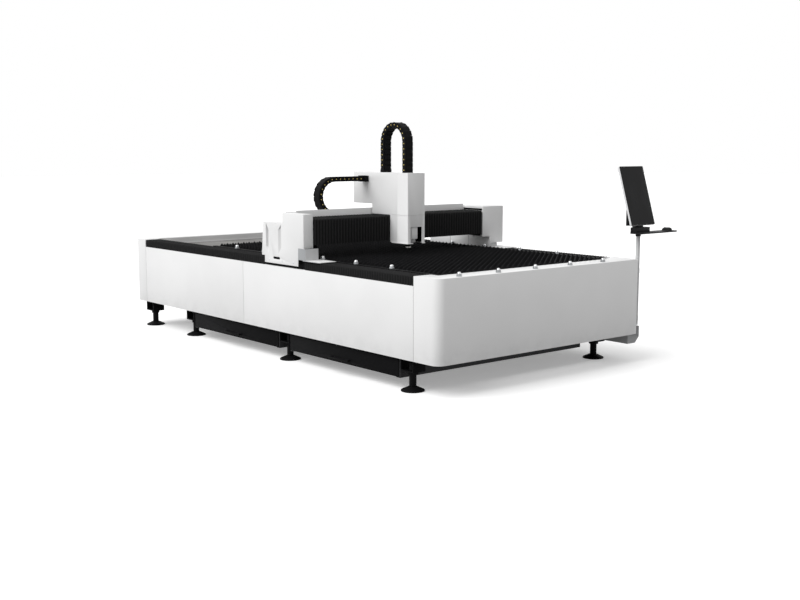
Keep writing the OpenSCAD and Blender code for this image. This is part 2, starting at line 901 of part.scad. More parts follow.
// Folded sheet end of the bed, with its ledge, lips and bulkheads
module end_cover(wrap, ledge, drop, r) {
  along_z(skirt_z, deck_z)
    difference() {
      end_plan(wrap, 0, r);
      end_plan(wrap + over, sheet_t, r);
    }
  along_z(skirt_z, skirt_z + sheet_t)
    difference() {
      end_plan(wrap, 0, r);
      end_plan(wrap + over, lip_w, r);
    }
  along_z(deck_z - sheet_t, deck_z) {
    end_plan(ledge, 0, r);
    rect([-half_w, ledge - sheet_t], [-band_in, wrap]);
    rect([band_in, ledge - sheet_t], [half_w, wrap]);
  }
  block([-strip_in, ledge - sheet_t, deck_z - drop], [strip_in, ledge, deck_z]);
  both_sides()
    block([band_in, wrap - sheet_t, band_z], [half_w, wrap, deck_z]);
}

module front_end_cover() {
  color(white_paint) placed() end_cover(front_wrap, front_ledge, front_drop, corner_r);
}

module rear_end_cover() {
  color(white_paint) placed()
    translate([0, bed_l, 0]) mirror([0, 1, 0]) end_cover(rear_wrap, rear_ledge, rear_drop, rear_corner_r);
}

// One side panel: a sheet with folded lips along its upper and lower edges
module side_panel(from, to) {
  along_y(from, to)
    difference() {
      rect([beam_out, skirt_z], [half_w, band_z]);
      rect([beam_out - over, skirt_z + sheet_t], [half_w - sheet_t, band_z - sheet_t]);
    }
}

module side_panels() {
  split = front_wrap + front_panel_l;
  color(white_paint) placed()
    both_sides() {
      side_panel(front_wrap + seam, split);
      side_panel(split + seam, bed_l - rear_wrap - seam);
    }
}

module side_beams() {
  color(dark_steel) placed()
    both_sides()
      tube_y([beam_in, frame_end, skirt_z], [beam_out, bed_l - frame_end, side_beam_top], frame_wall);
}

module cross_beams() {
  end_x = half_w - frame_end;
  color(dark_steel) placed() {
    for (y = cross_rows)
      tube_x(
        [-beam_in, y - cross_w / 2, skirt_z],
        [beam_in, y + cross_w / 2, skirt_z + cross_h],
        frame_wall
      );
    tube_x([-end_x, lip_w, skirt_z + sheet_t], [end_x, frame_end, side_beam_top], frame_wall);
    tube_x(
      [-end_x, bed_l - frame_end, skirt_z + sheet_t],
      [end_x, bed_l - lip_w, side_beam_top],
      frame_wall
    );
  }
}

// Every foot of the bed
module at_feet() {
  for (y = foot_rows)
    both_sides() translate([foot_x, y, 0]) children();
}

module foot_brackets() {
  color(black_paint) placed()
    at_feet()
      difference() {
        tube_x(
          [-bracket_w / 2, -bracket_l / 2, bracket_z],
          [bracket_w / 2, bracket_l / 2, skirt_z],
          bracket_wall
        );
        translate([0, 0, bracket_z - over])
          cylinder(d = stud_d + 2 * run_clear, h = bracket_wall + 2 * over);
      }
}

module foot_studs() {
  stud_low = pad_h - stud_seat;
  color(dark_steel) placed()
    at_feet() {
      translate([0, 0, stud_low]) cylinder(d = stud_d, h = stud_top - stud_low);
      translate([0, 0, bracket_z - nut_h]) cylinder(d = nut_d, h = nut_h, $fn = 6);
    }
}

module foot_pads() {
  seat_r = stud_d / 2 + run_clear;
  seat_z = pad_h - stud_seat;
  color(black_paint) placed()
    at_feet()
      rotate_extrude()
        polygon([
          [0, 0], [pad_d / 2, 0], [pad_d / 2, pad_rim_h], [pad_neck_d / 2, pad_h],
          [seat_r, pad_h], [seat_r, seat_z], [0, seat_z]
        ]);
}

// Slotted angle that holds the ends of the slats
module slat_combs() {
  slot = slat_t + 2 * slot_clear;
  color(black_paint) placed()
    both_sides() {
      along_x(slat_half - comb_t, slat_half)
        difference() {
          rect([front_ledge, comb_low], [table_end, comb_top]);
          for (y = slat_rows)
            rect([y - slot / 2, slat_low], [y + slot / 2, comb_top + over]);
        }
      block([slat_half - comb_t, front_ledge, comb_low], [beam_in, table_end, comb_low + comb_t]);
    }
}

// Outline of a slat, with a row of pointed teeth
slat_outline = concat(
  [[slat_half, slat_low], [-slat_half, slat_low]],
  [for (i = [0:2 * tooth_count])
    [-slat_half + i * tooth_step / 2, i % 2 == 0 ? slat_top - tooth_h : slat_top]]
);

module slats() {
  color(black_paint) placed()
    for (y = slat_rows)
      along_y(y - slat_t / 2, y + slat_t / 2) polygon(slat_outline);
}

module slag_chutes() {
  inner = beam_in - chute_reach;
  color(dark_steel) placed()
    both_sides()
      along_y(frame_end, table_end)
        polygon([
          [beam_in, chute_top], [inner, chute_top - chute_h],
          [inner, chute_top - chute_h - chute_v], [beam_in, chute_top - chute_v]
        ]);
}

module rear_deck() {
  top = side_beam_top + rear_deck_h;
  outer = beam_in + ball_bar_t;
  color(grey_paint) placed()
    along_y(table_end, bed_l - frame_end)
      difference() {
        rect([-outer, side_beam_top], [outer, top]);
        rect([-beam_in, side_beam_top - over], [beam_in, top - sheet_t]);
      }
}

module ball_bars() {
  outer = beam_in + ball_bar_t;
  color(black_paint) placed()
    both_sides()
      along_y(front_ledge, table_end)
        difference() {
          rect([outer - ball_bar_w, side_beam_top], [outer, deck_z]);
          rect([outer - ball_bar_w - over, side_beam_top - over], [beam_in, deck_z - ball_bar_t]);
        }
}

// Every ball transfer unit
module at_balls() {
  for (y = side_ball_rows)
    both_sides() translate([ball_x, y, deck_z]) children();
  for (x = front_ball_x)
    translate([x, front_ball_y, deck_z]) children();
}

module ball_cups() {
  color(steel) placed()
    at_balls()
      difference() {
        cylinder(d = cup_d, h = cup_h);
        translate([0, 0, ball_rise]) sphere(d = ball_d + 2 * ball_clear);
      }
}

module transfer_balls() {
  color(steel) placed()
    at_balls() translate([0, 0, ball_rise]) sphere(d = ball_d);
}

module y_rails() {
  color(steel) placed()
    both_sides()
      translate([y_rail_x, 0, 0])
        block([-y_rail_w / 2, rail_start, side_beam_top], [y_rail_w / 2, rail_stop, y_rail_top]);
}

module y_racks() {
  color(steel) placed()
    both_sides()
      block([y_rack_x, rail_start, side_beam_top], [beam_out, rail_stop, side_beam_top + y_rack_w]);
}

// Folded cover over a bed rail
module side_bellows(from, to) {
  inner_x = band_out - fold_depth - fold_wall;
  inner_z = band_top - fold_depth - fold_wall;
  difference() {
    intersection() {
      along_x(band_in, half_w)
        polygon(concat(
          [[to, band_low], [from, band_low]],
          fold_line(from, to, band_top, band_top - fold_depth)
        ));
      along_z(band_low, deck_z)
        polygon(concat(
          [[band_in, to], [band_in, from]],
          swapped(fold_line(from, to, band_out, band_out - fold_depth))
        ));
    }
    block([band_in - over, from - over, band_low - over], [inner_x, to + over, inner_z]);
  }
}

module front_bellows() { side_bellows(front_wrap + seat, foot_nose_y - seat); }

module rear_bellows() { side_bellows(foot_tail_y + seat, bed_l - rear_wrap - seat); }

module left_front_bellows() { color(bellows_black) placed() mirror([1, 0, 0]) front_bellows(); }

module left_rear_bellows() { color(bellows_black) placed() mirror([1, 0, 0]) rear_bellows(); }

module right_front_bellows() { color(bellows_black) placed() front_bellows(); }

module right_rear_bellows() { color(bellows_black) placed() rear_bellows(); }

// Angle runner under the rear edge of a cross beam
module runner(y) {
  along_x(-runner_start, beam_in)
    translate([y, 0]) {
      rect([cross_w / 2 - runner_t, runner_low], [cross_w / 2, skirt_z]);
      rect([cross_w / 2 - runner_t, runner_low], [cross_w / 2 + runner_w, runner_low + runner_t]);
    }
}

module drawer_runners() {
  color(dark_steel) placed()
    for (i = [0:1]) {
      runner(cross_rows[i]);
      translate([0, 2 * cross_rows[i + 1], 0]) mirror([0, 1, 0]) runner(cross_rows[i + 1]);
    }
}

// Open slag drawer with a bar handle on its face
module slag_drawer(row) {
  from = cross_rows[row] + cross_w / 2 + drawer_clear;
  to = cross_rows[row + 1] - cross_w / 2 - drawer_clear;
  mid = (from + to) / 2;
  bar_x = -drawer_face - handle_reach;
  bar_z = drawer_z + drawer_h * handle_share;
  difference() {
    block([-drawer_face, from, drawer_z], [drawer_d - drawer_face, to, drawer_z + drawer_h]);
    block(
      [sheet_t - drawer_face, from + sheet_t, drawer_z + sheet_t],
      [drawer_d - drawer_face - sheet_t, to - sheet_t, drawer_z + drawer_h + over]
    );
  }
  translate([bar_x, mid - handle_l / 2, bar_z]) rotate([-90, 0, 0]) cylinder(d = handle_d, h = handle_l);
  for (y = [mid - handle_l / 2 + handle_d, mid + handle_l / 2 - handle_d])
    translate([bar_x, y, bar_z]) rotate([0, 90, 0]) cylinder(d = handle_d, h = handle_reach + sheet_t / 2);
}

module front_drawer() { color(black_paint) placed() slag_drawer(0); }

module rear_drawer() { color(black_paint) placed() slag_drawer(1); }

// One chain link: outer and inner side plates, a lid and a crossbar
module chain_link() {
  r = link_h / 2;
  web_from = r + link_clear;
  web_to = link_pitch - r - link_clear;
  outer = link_w / 2 - link_plate;
  inner = outer - link_clear;
  core = inner - link_plate;
  bar_from = (link_pitch - 2 * link_bar) / 2;
  for (side = [0, 1])
    mirror([0, 0, side]) {
      along_z(outer, link_w / 2) {
        circle(r);
        rect([0, -r], [web_to, r]);
      }
      along_z(inner - link_plate / 2, outer + link_plate / 2) rect([web_from, -r], [web_to, r]);
      along_z(core, inner) {
        translate([link_pitch, 0]) circle(r);
        rect([web_from, -r], [link_pitch, r]);
      }
    }
  for (side = [0, 1])
    mirror([0, side, 0]) {
      reach = side == 0 ? bar_from : link_clear;
      block([reach, r - link_plate, link_clear - core], [link_pitch - reach, r, core - link_clear]);
      block([web_from, r - link_plate, -core - link_clear], [link_pitch - bar_from, r, core + link_clear]);
    }
}

// Point of a chain at a distance along it: first run, bend, second run
function chain_point(s, run, r) =
  s < run ? [s, 0]
  : s < run + PI * r ? let (a = (s - run) / r * 180 / PI) [run + r * sin(a), r - r * cos(a)]
  : [2 * run + PI * r - s, 2 * r];

// A chain that starts at the origin, runs along +X and bends back above itself
module chain(count, run, r) {
  for (i = [0:count - 1]) {
    a = chain_point(i * link_pitch, run, r);
    b = chain_point((i + 1) * link_pitch, run, r);
    translate(a) rotate(atan2(b.y - a.y, b.x - a.x)) chain_link();
  }
}

module x_chain() {
  color(chain_black) placed()
    translate([x_chain_fix, chain_y, chain_low_z]) rotate([90, 0, 0]) mirror([1, 0, 0])
      chain(x_chain_count, x_chain_fix - x_chain_bend, chain_r);
}

module z_chain() {
  color(chain_black) placed()
    translate([car_x, z_chain_y + chain_r, z_chain_fix]) rotate([90, 0, 90]) rotate(90)
      chain(z_chain_count, z_chain_bend - z_chain_fix, chain_r);
}

module y_chain() {
  color(chain_black) placed()
    translate([y_chain_x, y_chain_fix, y_chain_z]) rotate([90, 0, 90]) mirror([1, 0, 0])
      chain(y_chain_count, y_chain_fix - y_chain_bend, bed_chain_r);
}

// Cable trough on arms under the side beam
module chain_trough() {
  lo = [half_w, trough_z];
  hi = [half_w + trough_w, trough_z + trough_h];
  cut = trough_chamfer;
  inner_cut = cut + sheet_t * tan(22.5) - sheet_t;
  color(grey_paint) placed() {
    along_y(trough_end, bed_l - trough_end)
      difference() {
        polygon([lo, [hi.x - cut, lo.y], [hi.x, lo.y + cut], hi, [lo.x, hi.y]]);
        polygon([
          lo + [sheet_t, sheet_t], [hi.x - sheet_t - inner_cut, lo.y + sheet_t],
          [hi.x - sheet_t, lo.y + sheet_t + inner_cut], hi + [-sheet_t, over], [lo.x + sheet_t, hi.y + over]
        ]);
      }
    for (y = trough_arm_rows) {
      block([beam_in, y, skirt_z - trough_arm_t], [half_w, y + trough_arm_w, skirt_z]);
      block([half_w - trough_arm_t, y, trough_z], [half_w + sheet_t / 2, y + trough_arm_w, skirt_z]);
    }
  }
}

module console_pole() {
  color(grey_paint) placed() {
    translate([pole_x, pole_y, pole_low]) cylinder(d = pole_d, h = pole_top - pole_low);
    for (z = clamp_z)
      block([half_w, pole_y - clamp_w / 2, z], [pole_x, pole_y + clamp_w / 2, z + clamp_h]);
  }
}

module control_tray() {
  color(black_paint) placed() {
    along_z(tray_z, tray_top) round_rect([tray_x, tray_y], [tray_x + tray_w, tray_y + tray_l], tray_r);
    translate([pole_x, pole_y, tray_z - hub_h])
      difference() {
        cylinder(d = hub_d, h = hub_h + tray_t / 2);
        translate([0, 0, -over]) cylinder(d = pole_d + 2 * run_clear, h = hub_h + over);
      }
  }
}

module monitor_stand() {
  color(black_paint) placed() {
    translate([pole_x, pole_y - stand_set, 0])
      block([-stand_w / 2, -stand_l / 2, tray_top], [stand_w / 2, stand_l / 2, stand_top]);
    block(
      [pole_x - upright_w / 2, tilt_y - upright_t / 2, stand_top - upright_t],
      [pole_x + upright_w / 2, tilt_y + upright_t / 2, tilt_z]
    );
    translate([pole_x, tilt_y, tilt_z]) rotate([0, 90, 0]) {
      cylinder(r = tilt_r, h = upright_w, center = true);
      cylinder(d = tilt_pin_d, h = upright_w + 4 * ear_t, center = true);
    }
  }
}

module mouse() {
  color(black_paint) placed()
    translate([tray_x + tray_w - mouse_right, tray_y + mouse_front, tray_top])
      intersection() {
        along_z(0, mouse_h) {
          rect([-mouse_w / 2, -mouse_l / 2 + mouse_w / 2], [mouse_w / 2, mouse_l / 2 - mouse_w / 2]);
          for (y = [-1, 1])
            translate([0, y * (mouse_l - mouse_w) / 2]) circle(d = mouse_w);
        }
        translate([0, 0, mouse_h - mouse_round]) rotate([0, 90, 0])
          cylinder(r = mouse_round, h = 2 * mouse_w, center = true);
      }
}

// The monitor's own frame, its face towards -Y
module at_monitor() {
  translate([pole_x, monitor_y, monitor_z]) rotate([-monitor_tilt, 0, 0]) children();
}

module monitor_shell() {
  half = monitor_w / 2;
  color(white_paint) placed()
    at_monitor() {
      difference() {
        along_y(0, monitor_t) round_rect([-half, 0], [half, monitor_h], monitor_r);
        along_y(-over, screen_t) rect([bezel - half, bezel], [half - bezel, monitor_h - bezel]);
      }
      for (x = [-upright_w / 2 - ear_t - seat, upright_w / 2 + seat])
        along_x(x, x + ear_t)
          difference() {
            union() {
              rect([monitor_t - screen_t, tilt_rise - tilt_r], [tilt_local.y, tilt_rise + tilt_r]);
              translate([tilt_local.y, tilt_rise]) circle(tilt_r);
            }
            translate([tilt_local.y, tilt_rise]) circle(d = tilt_pin_d + 2 * run_clear);
          }
    }
}

module monitor_screen() {
  half = monitor_w / 2 - bezel;
  color(screen_black) placed()
    at_monitor() block([-half, screen_t / 4, bezel], [half, screen_t, monitor_h - bezel]);
}

module gantry_beam() {
  color(dark_steel) placed()
    tube_x([-foot_out, beam_front, beam_z], [foot_out, beam_rear, beam_top], frame_wall);
}

// Foot of the gantry: base, column and upturned tail
module gantry_foot() {
  difference() {
    along_x(foot_in, foot_out)
      polygon([
        [foot_nose_y, guide_top], [foot_tail_y, guide_top], [foot_tail_y, foot_base_z + foot_tail_h],
        [foot_tail_y - foot_tail_t, foot_base_z + foot_tail_h], [foot_tail_y - foot_tail_t, foot_base_z],
        [beam_rear + foot_heel, foot_base_z], [beam_rear, beam_z], [beam_front, beam_z],
        [foot_nose_y, foot_base_z + foot_nose_h]
      ]);
    translate([y_pinion_x, motor_y, guide_top - over])
      cylinder(d = pinion_shaft_d + 4 * run_clear, h = foot_base_t + 2 * over);
  }
}

module gantry_feet() {
  color(dark_steel) placed() both_sides() gantry_foot();
}

module y_guide_blocks() {
  color(steel) placed()
    both_sides()
      for (y = [guide_front, guide_rear])
        difference() {
          translate([y_rail_x, y, 0])
            block([-guide_w / 2, -guide_l / 2, guide_z], [guide_w / 2, guide_l / 2, guide_top]);
          block(
            [y_rail_x - y_rail_w / 2 - run_clear, y - guide_l / 2 - over, guide_z - over],
            [y_rail_x + y_rail_w / 2 + run_clear, y + guide_l / 2 + over, y_rail_top + run_clear]
          );
        }
}

// A motor standing on its gearbox
module geared_motor(gear_w, gear_h, body_w, body_h) {
  block([-gear_w / 2, -gear_w / 2, 0], [gear_w / 2, gear_w / 2, gear_h]);
  block([-body_w / 2, -body_w / 2, gear_h], [body_w / 2, body_w / 2, gear_h + body_h]);
}

module y_motors() {
  color(dark_steel) placed()
    both_sides()
      translate([y_pinion_x, motor_y, foot_base_z]) geared_motor(gearbox_w, gearbox_h, motor_w, motor_h);
}

// Toothed pinion with its shaft, standing at the origin
module pinion(r, height, shaft_top) {
  tooth = PI * r / pinion_teeth;
  along_z(0, height)
    difference() {
      circle(r);
      for (i = [0:pinion_teeth - 1])
        rotate(i * 360 / pinion_teeth) rect([r - tooth, -tooth / 2], [r + over, tooth / 2]);
    }
  cylinder(d = pinion_shaft_d, h = shaft_top);
}

module y_pinion(side) {
  low = side_beam_top + (y_rack_w - pinion_h) / 2;
  translate([side * y_pinion_x, motor_y, low]) pinion(y_pinion_r, pinion_h, foot_base_z - seat - low);
}

module left_y_pinion() { color(steel) placed() y_pinion(-1); }

module right_y_pinion() { color(steel) placed() y_pinion(1); }

module x_pinion() {
  low = beam_top + (x_rack_w - pinion_h) / 2;
  color(steel) placed()
    translate([car_x, x_pinion_y, low])
      pinion(x_pinion_r, pinion_h, plate_top_z + plate_top_t - seat - low);
}

// Side outline of an end cover and of its hollow
cover_outline = [
  [cover_foot, cover_low], [cover_rear - cover_notch_l + cover_flare, cover_low],
  [cover_rear - cover_notch_l + cover_flare, cover_low + cover_notch_h],
  [cover_rear + cover_flare, cover_low + cover_notch_h], [cover_rear, low_top],
  [cover_mid, low_top], [cover_mid, cover_top], [cover_front, cover_top],
  [cover_front, cover_nose_z], [cover_foot, cover_nose_z]
];
cover_hollow = [
  [cover_front + sheet_t, cover_low - over],
  [cover_rear - cover_notch_l + cover_flare - sheet_t, cover_low - over],
  [cover_rear - cover_notch_l + cover_flare - sheet_t, cover_low + cover_notch_h + sheet_t],
  [cover_rear + cover_flare - 2 * sheet_t, cover_low + cover_notch_h + sheet_t],
  [cover_rear - sheet_t, low_top - sheet_t], [cover_mid - sheet_t, low_top - sheet_t],
  [cover_mid - sheet_t, cover_top - sheet_t], [cover_front + sheet_t, cover_top - sheet_t]
];

// Section of the cross bellows: front, top and a short lower lip
module bellows_section(t) {
  difference() {
    rect([bellows_y, bellows_low], [beam_rear - seat, bellows_top]);
    rect([bellows_y + t, bellows_low + fold_depth], [beam_rear + over, bellows_top - t]);
    rect([bellows_y + bellows_lip, bellows_low - over], [beam_rear + over, bellows_low + t]);
  }
}

// End cover shell
module end_shell() {
  difference() {
    along_x(cover_in, cover_out) polygon(cover_outline);
    along_x(cover_in - over, cover_out - sheet_t) polygon(cover_hollow);
  }
}

// Slanted scoop in a cover's face
module scoop(outer) {
  inner = outer + recess_bevel;
  intersection() {
    along_x(cover_out - recess_depth - over, cover_out + over)
      polygon([
        [outer, recess_low + recess_slope], [inner, recess_low], [inner, recess_top - recess_slope],
        [outer, recess_top]
      ]);
    along_z(recess_low - over, recess_top + over)
      polygon([
        [cover_out - recess_depth, outer], [cover_out + over, outer], [cover_out + over, inner],
        [cover_out, inner]
      ]);
  }
}

module left_end_cover() {
  panel_from = cover_mid + recess_margin;
  panel_to = cover_rear - 2 * recess_margin;
  color(white_paint) placed()
    mirror([1, 0, 0]) {
      difference() {
        union() {
          end_shell();
          along_x(cover_out - sheet_t - recess_depth, cover_out)
            rect([cover_mid, recess_low - recess_margin], [cover_rear - sheet_t, low_top - sheet_t]);
        }
        scoop(panel_from);
        translate([0, panel_from + panel_to, 0]) mirror([0, 1, 0]) scoop(panel_from);
        along_x(cover_out - sheet_t - over, cover_out + over)
          translate([cover_mid + vent_back, vent_z]) round_rect([0, 0], [vent_w, vent_h], vent_h / 2 - seat);
      }
      along_x(cover_in, cover_in + sheet_t)
        intersection() {
          bellows_section(bellows_rise - band_gap);
          rect([cover_front, bellows_low], [cover_mid, bellows_top]);
        }
    }
}

module right_end_cover() {
  color(white_paint) placed() {
    end_shell();
    block([right_cover_in, bellows_y - sheet_t, cover_nose_z], [cover_out, bellows_y, cover_top]);
    block([foot_in + band_gap, bellows_y - sheet_t, right_cover_low], [cover_out, bellows_y, cover_top]);
    block([right_cover_in, bellows_y - sheet_t, cover_top - sheet_t], [cover_out, cover_mid, cover_top]);
    block(
      [cover_in, bellows_y - sheet_t, cover_nose_z],
      [cover_out, cover_front + sheet_t, cover_nose_z + sheet_t]
    );
    block([cover_out - sheet_t, bellows_y - sheet_t, right_cover_low], [cover_out, cover_foot, cover_top]);
    along_x(right_cover_in, right_cover_in + sheet_t) {
      bellows_section(bellows_rise - band_gap);
      rect([bellows_y - sheet_t, cover_nose_z], [bellows_y + foot_nose, cover_top]);
      rect([bellows_y - sheet_t, bellows_top - sheet_t], [cover_mid, cover_top]);
    }
  }
}

module apron() {
  block([foot_in + band_gap, foot_nose_y - apron_l, deck_z], [cover_out, foot_nose_y, deck_z + apron_t]);
}

module foot_shields() {
  z = deck_z + apron_t;
  color(grey_paint) placed() {
    both_sides() apron();
    block(
      [foot_in - sheet_t, guard_front, deck_z],
      [foot_in, guard_front + guard_l, cover_nose_z - band_gap]
    );
    mirror([1, 0, 0]) {
      block([cover_out - shield_w, shield_front, z], [cover_out, shield_front + sheet_t, z + shield_h]);
      block([cover_out - sheet_t, shield_front, z], [cover_out, cover_foot, z + shield_h]);
    }
  }
}

module x_rails() {
  color(steel) placed()
    for (z = x_rail_z)
      block([x_rail_l, x_rail_front, z - x_rail_w / 2], [x_rail_r, beam_front, z + x_rail_w / 2]);
}

module x_rack() {
  color(steel) placed()
    block([x_rail_l, rack_front, beam_top], [x_rail_r, rack_front + x_rack_w, beam_top + x_rack_w]);
}

module chain_tray() {
  color(white_paint) placed()
    along_x(tray_l_end, tray_r_end) {
      rect([beam_rear, beam_top - chain_tray_lap], [beam_rear + sheet_t, beam_top + chain_tray_front]);
      rect([beam_rear, chain_floor_z - sheet_t], [tray_rear, chain_floor_z]);
      rect([tray_rear - sheet_t, chain_floor_z - sheet_t], [tray_rear, chain_floor_z + chain_tray_rear]);
    }
}

// Folded cover along the beam
module cross_bellows(from, to) {
  wall = fold_depth + fold_wall;
  difference() {
    intersection() {
      along_z(bellows_low, bellows_top)
        polygon(concat(
          [[to, beam_rear - seat], [from, beam_rear - seat]],
          fold_line(from, to, bellows_y, bellows_y + fold_depth)
        ));
      along_y(bellows_y, beam_rear)
        polygon(concat(
          [[to, bellows_low], [from, bellows_low]],
          fold_line(from, to, bellows_top, bellows_top - fold_depth)
        ));
    }
    along_x(from - over, to + over) {
      rect([bellows_y + wall, bellows_low + fold_depth], [beam_rear + over, bellows_top - wall]);
      rect([bellows_y + bellows_lip, bellows_low - over], [beam_rear + over, bellows_top - wall]);
    }
  }
}

module left_x_bellows() {
  color(bellows_black) placed() cross_bellows(-cover_in + seat, car_l + sheet_t - seat);
}

module right_x_bellows() {
  color(bellows_black) placed() cross_bellows(car_r - sheet_t + seat, right_cover_in - seat);
}

module chain_arm() {
  inner = cover_out + arm_gap;
  color(grey_paint) placed()
    along_y(y_chain_end - arm_l, y_chain_end + link_h / 2)
      polygon([
        [cover_out, arm_pad_z], [inner, arm_pad_z], [inner, arm_low], [y_chain_x + link_w / 2, arm_low],
        [y_chain_x + link_w / 2, arm_low + arm_t], [inner + arm_t, arm_low + arm_t],
        [inner + arm_t, arm_pad_z + arm_pad_h], [cover_out, arm_pad_z + arm_pad_h]
      ]);
}

module carriage_plate() {
  rear = plate_front + plate_t;
  color(dark_steel) placed() {
    difference() {
      along_x(car_l + plate_side, car_r - plate_side)
        polygon([
          [plate_front, plate_low], [rear, plate_low], [rear, plate_top_z],
          [rear + plate_top_l, plate_top_z], [rear + plate_top_l, plate_top_z + plate_top_t],
          [rear, plate_top_z + plate_top_t], [rear, mount_z + mount_t],
          [screw_y - z_motor_w / 2, mount_z + mount_t],
          [screw_y - z_motor_w / 2, mount_z], [plate_front, mount_z]
        ]);
      translate([car_x, x_pinion_y, plate_top_z - over])
        cylinder(d = pinion_shaft_d + 4 * run_clear, h = plate_top_t + 2 * over);
      translate([car_x, screw_y, mount_z - over])
        cylinder(d = screw_d + 4 * run_clear, h = mount_t + 2 * over);
    }
    for (x = [car_l + sheet_t, car_r - 2 * sheet_t])
      along_x(x, x + sheet_t) {
        rect([plate_front, bellows_low + end_gap], [bellows_y + foot_nose, bellows_top]);
        rect([plate_front, bellows_top - fold_depth], [car_step_y, bellows_top]);
      }
  }
}

module x_guide_blocks() {
  color(steel) placed()
    for (z = x_rail_z)
      for (x = [car_x - x_guide_gap / 2 - x_guide_l, car_x + x_guide_gap / 2])
        difference() {
          block(
            [x, bellows_y, z - x_guide_h / 2],
            [x + x_guide_l, beam_front - end_gap, z + x_guide_h / 2]
          );
          block(
            [x - over, x_rail_front - run_clear, z - x_rail_w / 2 - run_clear],
            [x + x_guide_l + over, beam_front, z + x_rail_w / 2 + run_clear]
          );
        }
}

// Cover of the carriage
module carriage_cover() {
  color(white_paint) placed() {
    difference() {
      along_x(car_l, car_r)
        polygon([
          [head_seam, cover_z], [bellows_y, cover_z], [bellows_y, car_step_z], [car_step_y, car_step_z],
          [car_step_y, car_over_z], [car_rear, car_over_z], [car_rear, car_top], [head_seam, car_top]
        ]);
      along_x(car_l + sheet_t, car_r - sheet_t)
        polygon([
          [head_seam - over, cover_z - over], [bellows_y + over, cover_z - over],
          [bellows_y + over, car_step_z - over], [car_step_y - sheet_t, car_step_z - over],
          [car_step_y - sheet_t, car_over_z + sheet_t], [car_rear - sheet_t, car_over_z + sheet_t],
          [car_rear - sheet_t, car_top - sheet_t], [head_seam - over, car_top - sheet_t]
        ]);
    }
    block(
      [car_l - chain_stub, chain_y - link_w / 2, chain_low_z + 2 * chain_r - link_h / 2],
      [car_l, chain_y + link_w / 2, chain_low_z + 2 * chain_r + link_h / 2]
    );
  }
}

// Cover of the cutting head, with its lower opening, chain slot and sill
module head_cover() {
  slot = (link_w + end_gap) / 2;
  color(white_paint) placed() {
    difference() {
      block([car_l, head_front, cover_z], [car_r, head_seam, car_top]);
      block(
        [car_l + sheet_t, head_front + sheet_t, cover_z - over],
        [car_r - sheet_t, head_seam + over, car_top - sheet_t]
      );
      block(
        [car_x - window_w / 2, head_front - over, cover_z - over],
        [car_x + window_w / 2, head_front + over, cover_z + window_h]
      );
      block(
        [car_x - slot, z_chain_y - chain_r - (link_h + end_gap) / 2, car_top - over],
        [car_x + slot, head_seam + over, car_top + over]
      );
    }
    difference() {
      block(
        [car_l - sill_over, head_front - sill_over, cover_z - sill_t],
        [car_r + sill_over, plate_front, cover_z]
      );
      block(
        [car_x - window_w / 2, head_y - window_w / 2, cover_z - sill_t - over],
        [car_x + window_w / 2, head_y + window_w / 2, cover_z + over]
      );
      block(
        [car_x - window_w / 2 + sill_lap, head_front - sill_over - over, cover_z - sill_t - over],
        [car_x + window_w / 2, head_y, cover_z + over]
      );
    }
  }
}

module carriage_motors() {
  color(dark_steel) placed() {
    translate([car_x, x_pinion_y, plate_top_z + plate_top_t])
      geared_motor(x_gearbox_w, x_gearbox_h, x_motor_w, x_motor_h);
    block(
      [car_x - z_motor_w / 2, screw_y - z_motor_w / 2, mount_z + mount_t],
      [car_x + z_motor_w / 2, screw_y + z_motor_w / 2, mount_z + mount_t + z_motor_h]
    );
  }
}

module z_rails() {
  color(steel) placed()
    for (side = [-1, 1])
      translate([car_x + side * z_rail_x, 0, 0])
        block(
          [-z_rail_w / 2, plate_front - z_rail_d, z_rail_low],
          [z_rail_w / 2, plate_front, mount_z - end_gap / 2]
        );
}

module z_screw() {
  color(steel) placed()
    translate([car_x, screw_y, z_rail_low])
      cylinder(d = screw_d, h = mount_z + mount_t - seat - z_rail_low);
}

// Slide plate of the head, with its guide blocks, screw nut and chain shelf
module head_plate() {
  low = [slide_low + slide_margin, slide_low + slide_h / 2 + slide_margin];
  nut_z = slide_low + slide_h / 3;
  color(steel) placed() {
    block([car_x - slide_w / 2, head_front_y, slide_low], [car_x + slide_w / 2, head_rear_y, slide_top]);
    for (side = [-1, 1])
      for (z = low)
        translate([car_x + side * z_rail_x, 0, z])
          difference() {
            block(
              [-slide_block_w / 2, head_rear_y, 0],
              [slide_block_w / 2, plate_front - band_gap, slide_block_h]
            );
            block(
              [-z_rail_w / 2 - run_clear, plate_front - z_rail_d - run_clear, -over],
              [z_rail_w / 2 + run_clear, plate_front, slide_block_h + over]
            );
          }
    difference() {
      block(
        [car_x - screw_nut_w / 2, head_rear_y, nut_z],
        [car_x + screw_nut_w / 2, plate_front - band_gap, nut_z + screw_nut_h]
      );
      translate([car_x, screw_y, nut_z - over])
        cylinder(d = screw_d + 2 * run_clear, h = screw_nut_h + 2 * over);
    }
    block(
      [car_x - shelf_w / 2, head_front_y, slide_top],
      [car_x + shelf_w / 2, head_rear_y, chain_shelf_z]
    );
    block(
      [car_x - shelf_w / 2, z_chain_y - chain_r - link_h / 2, chain_shelf_z - shelf_t],
      [car_x + shelf_w / 2, head_rear_y, chain_shelf_z]
    );
  }
}

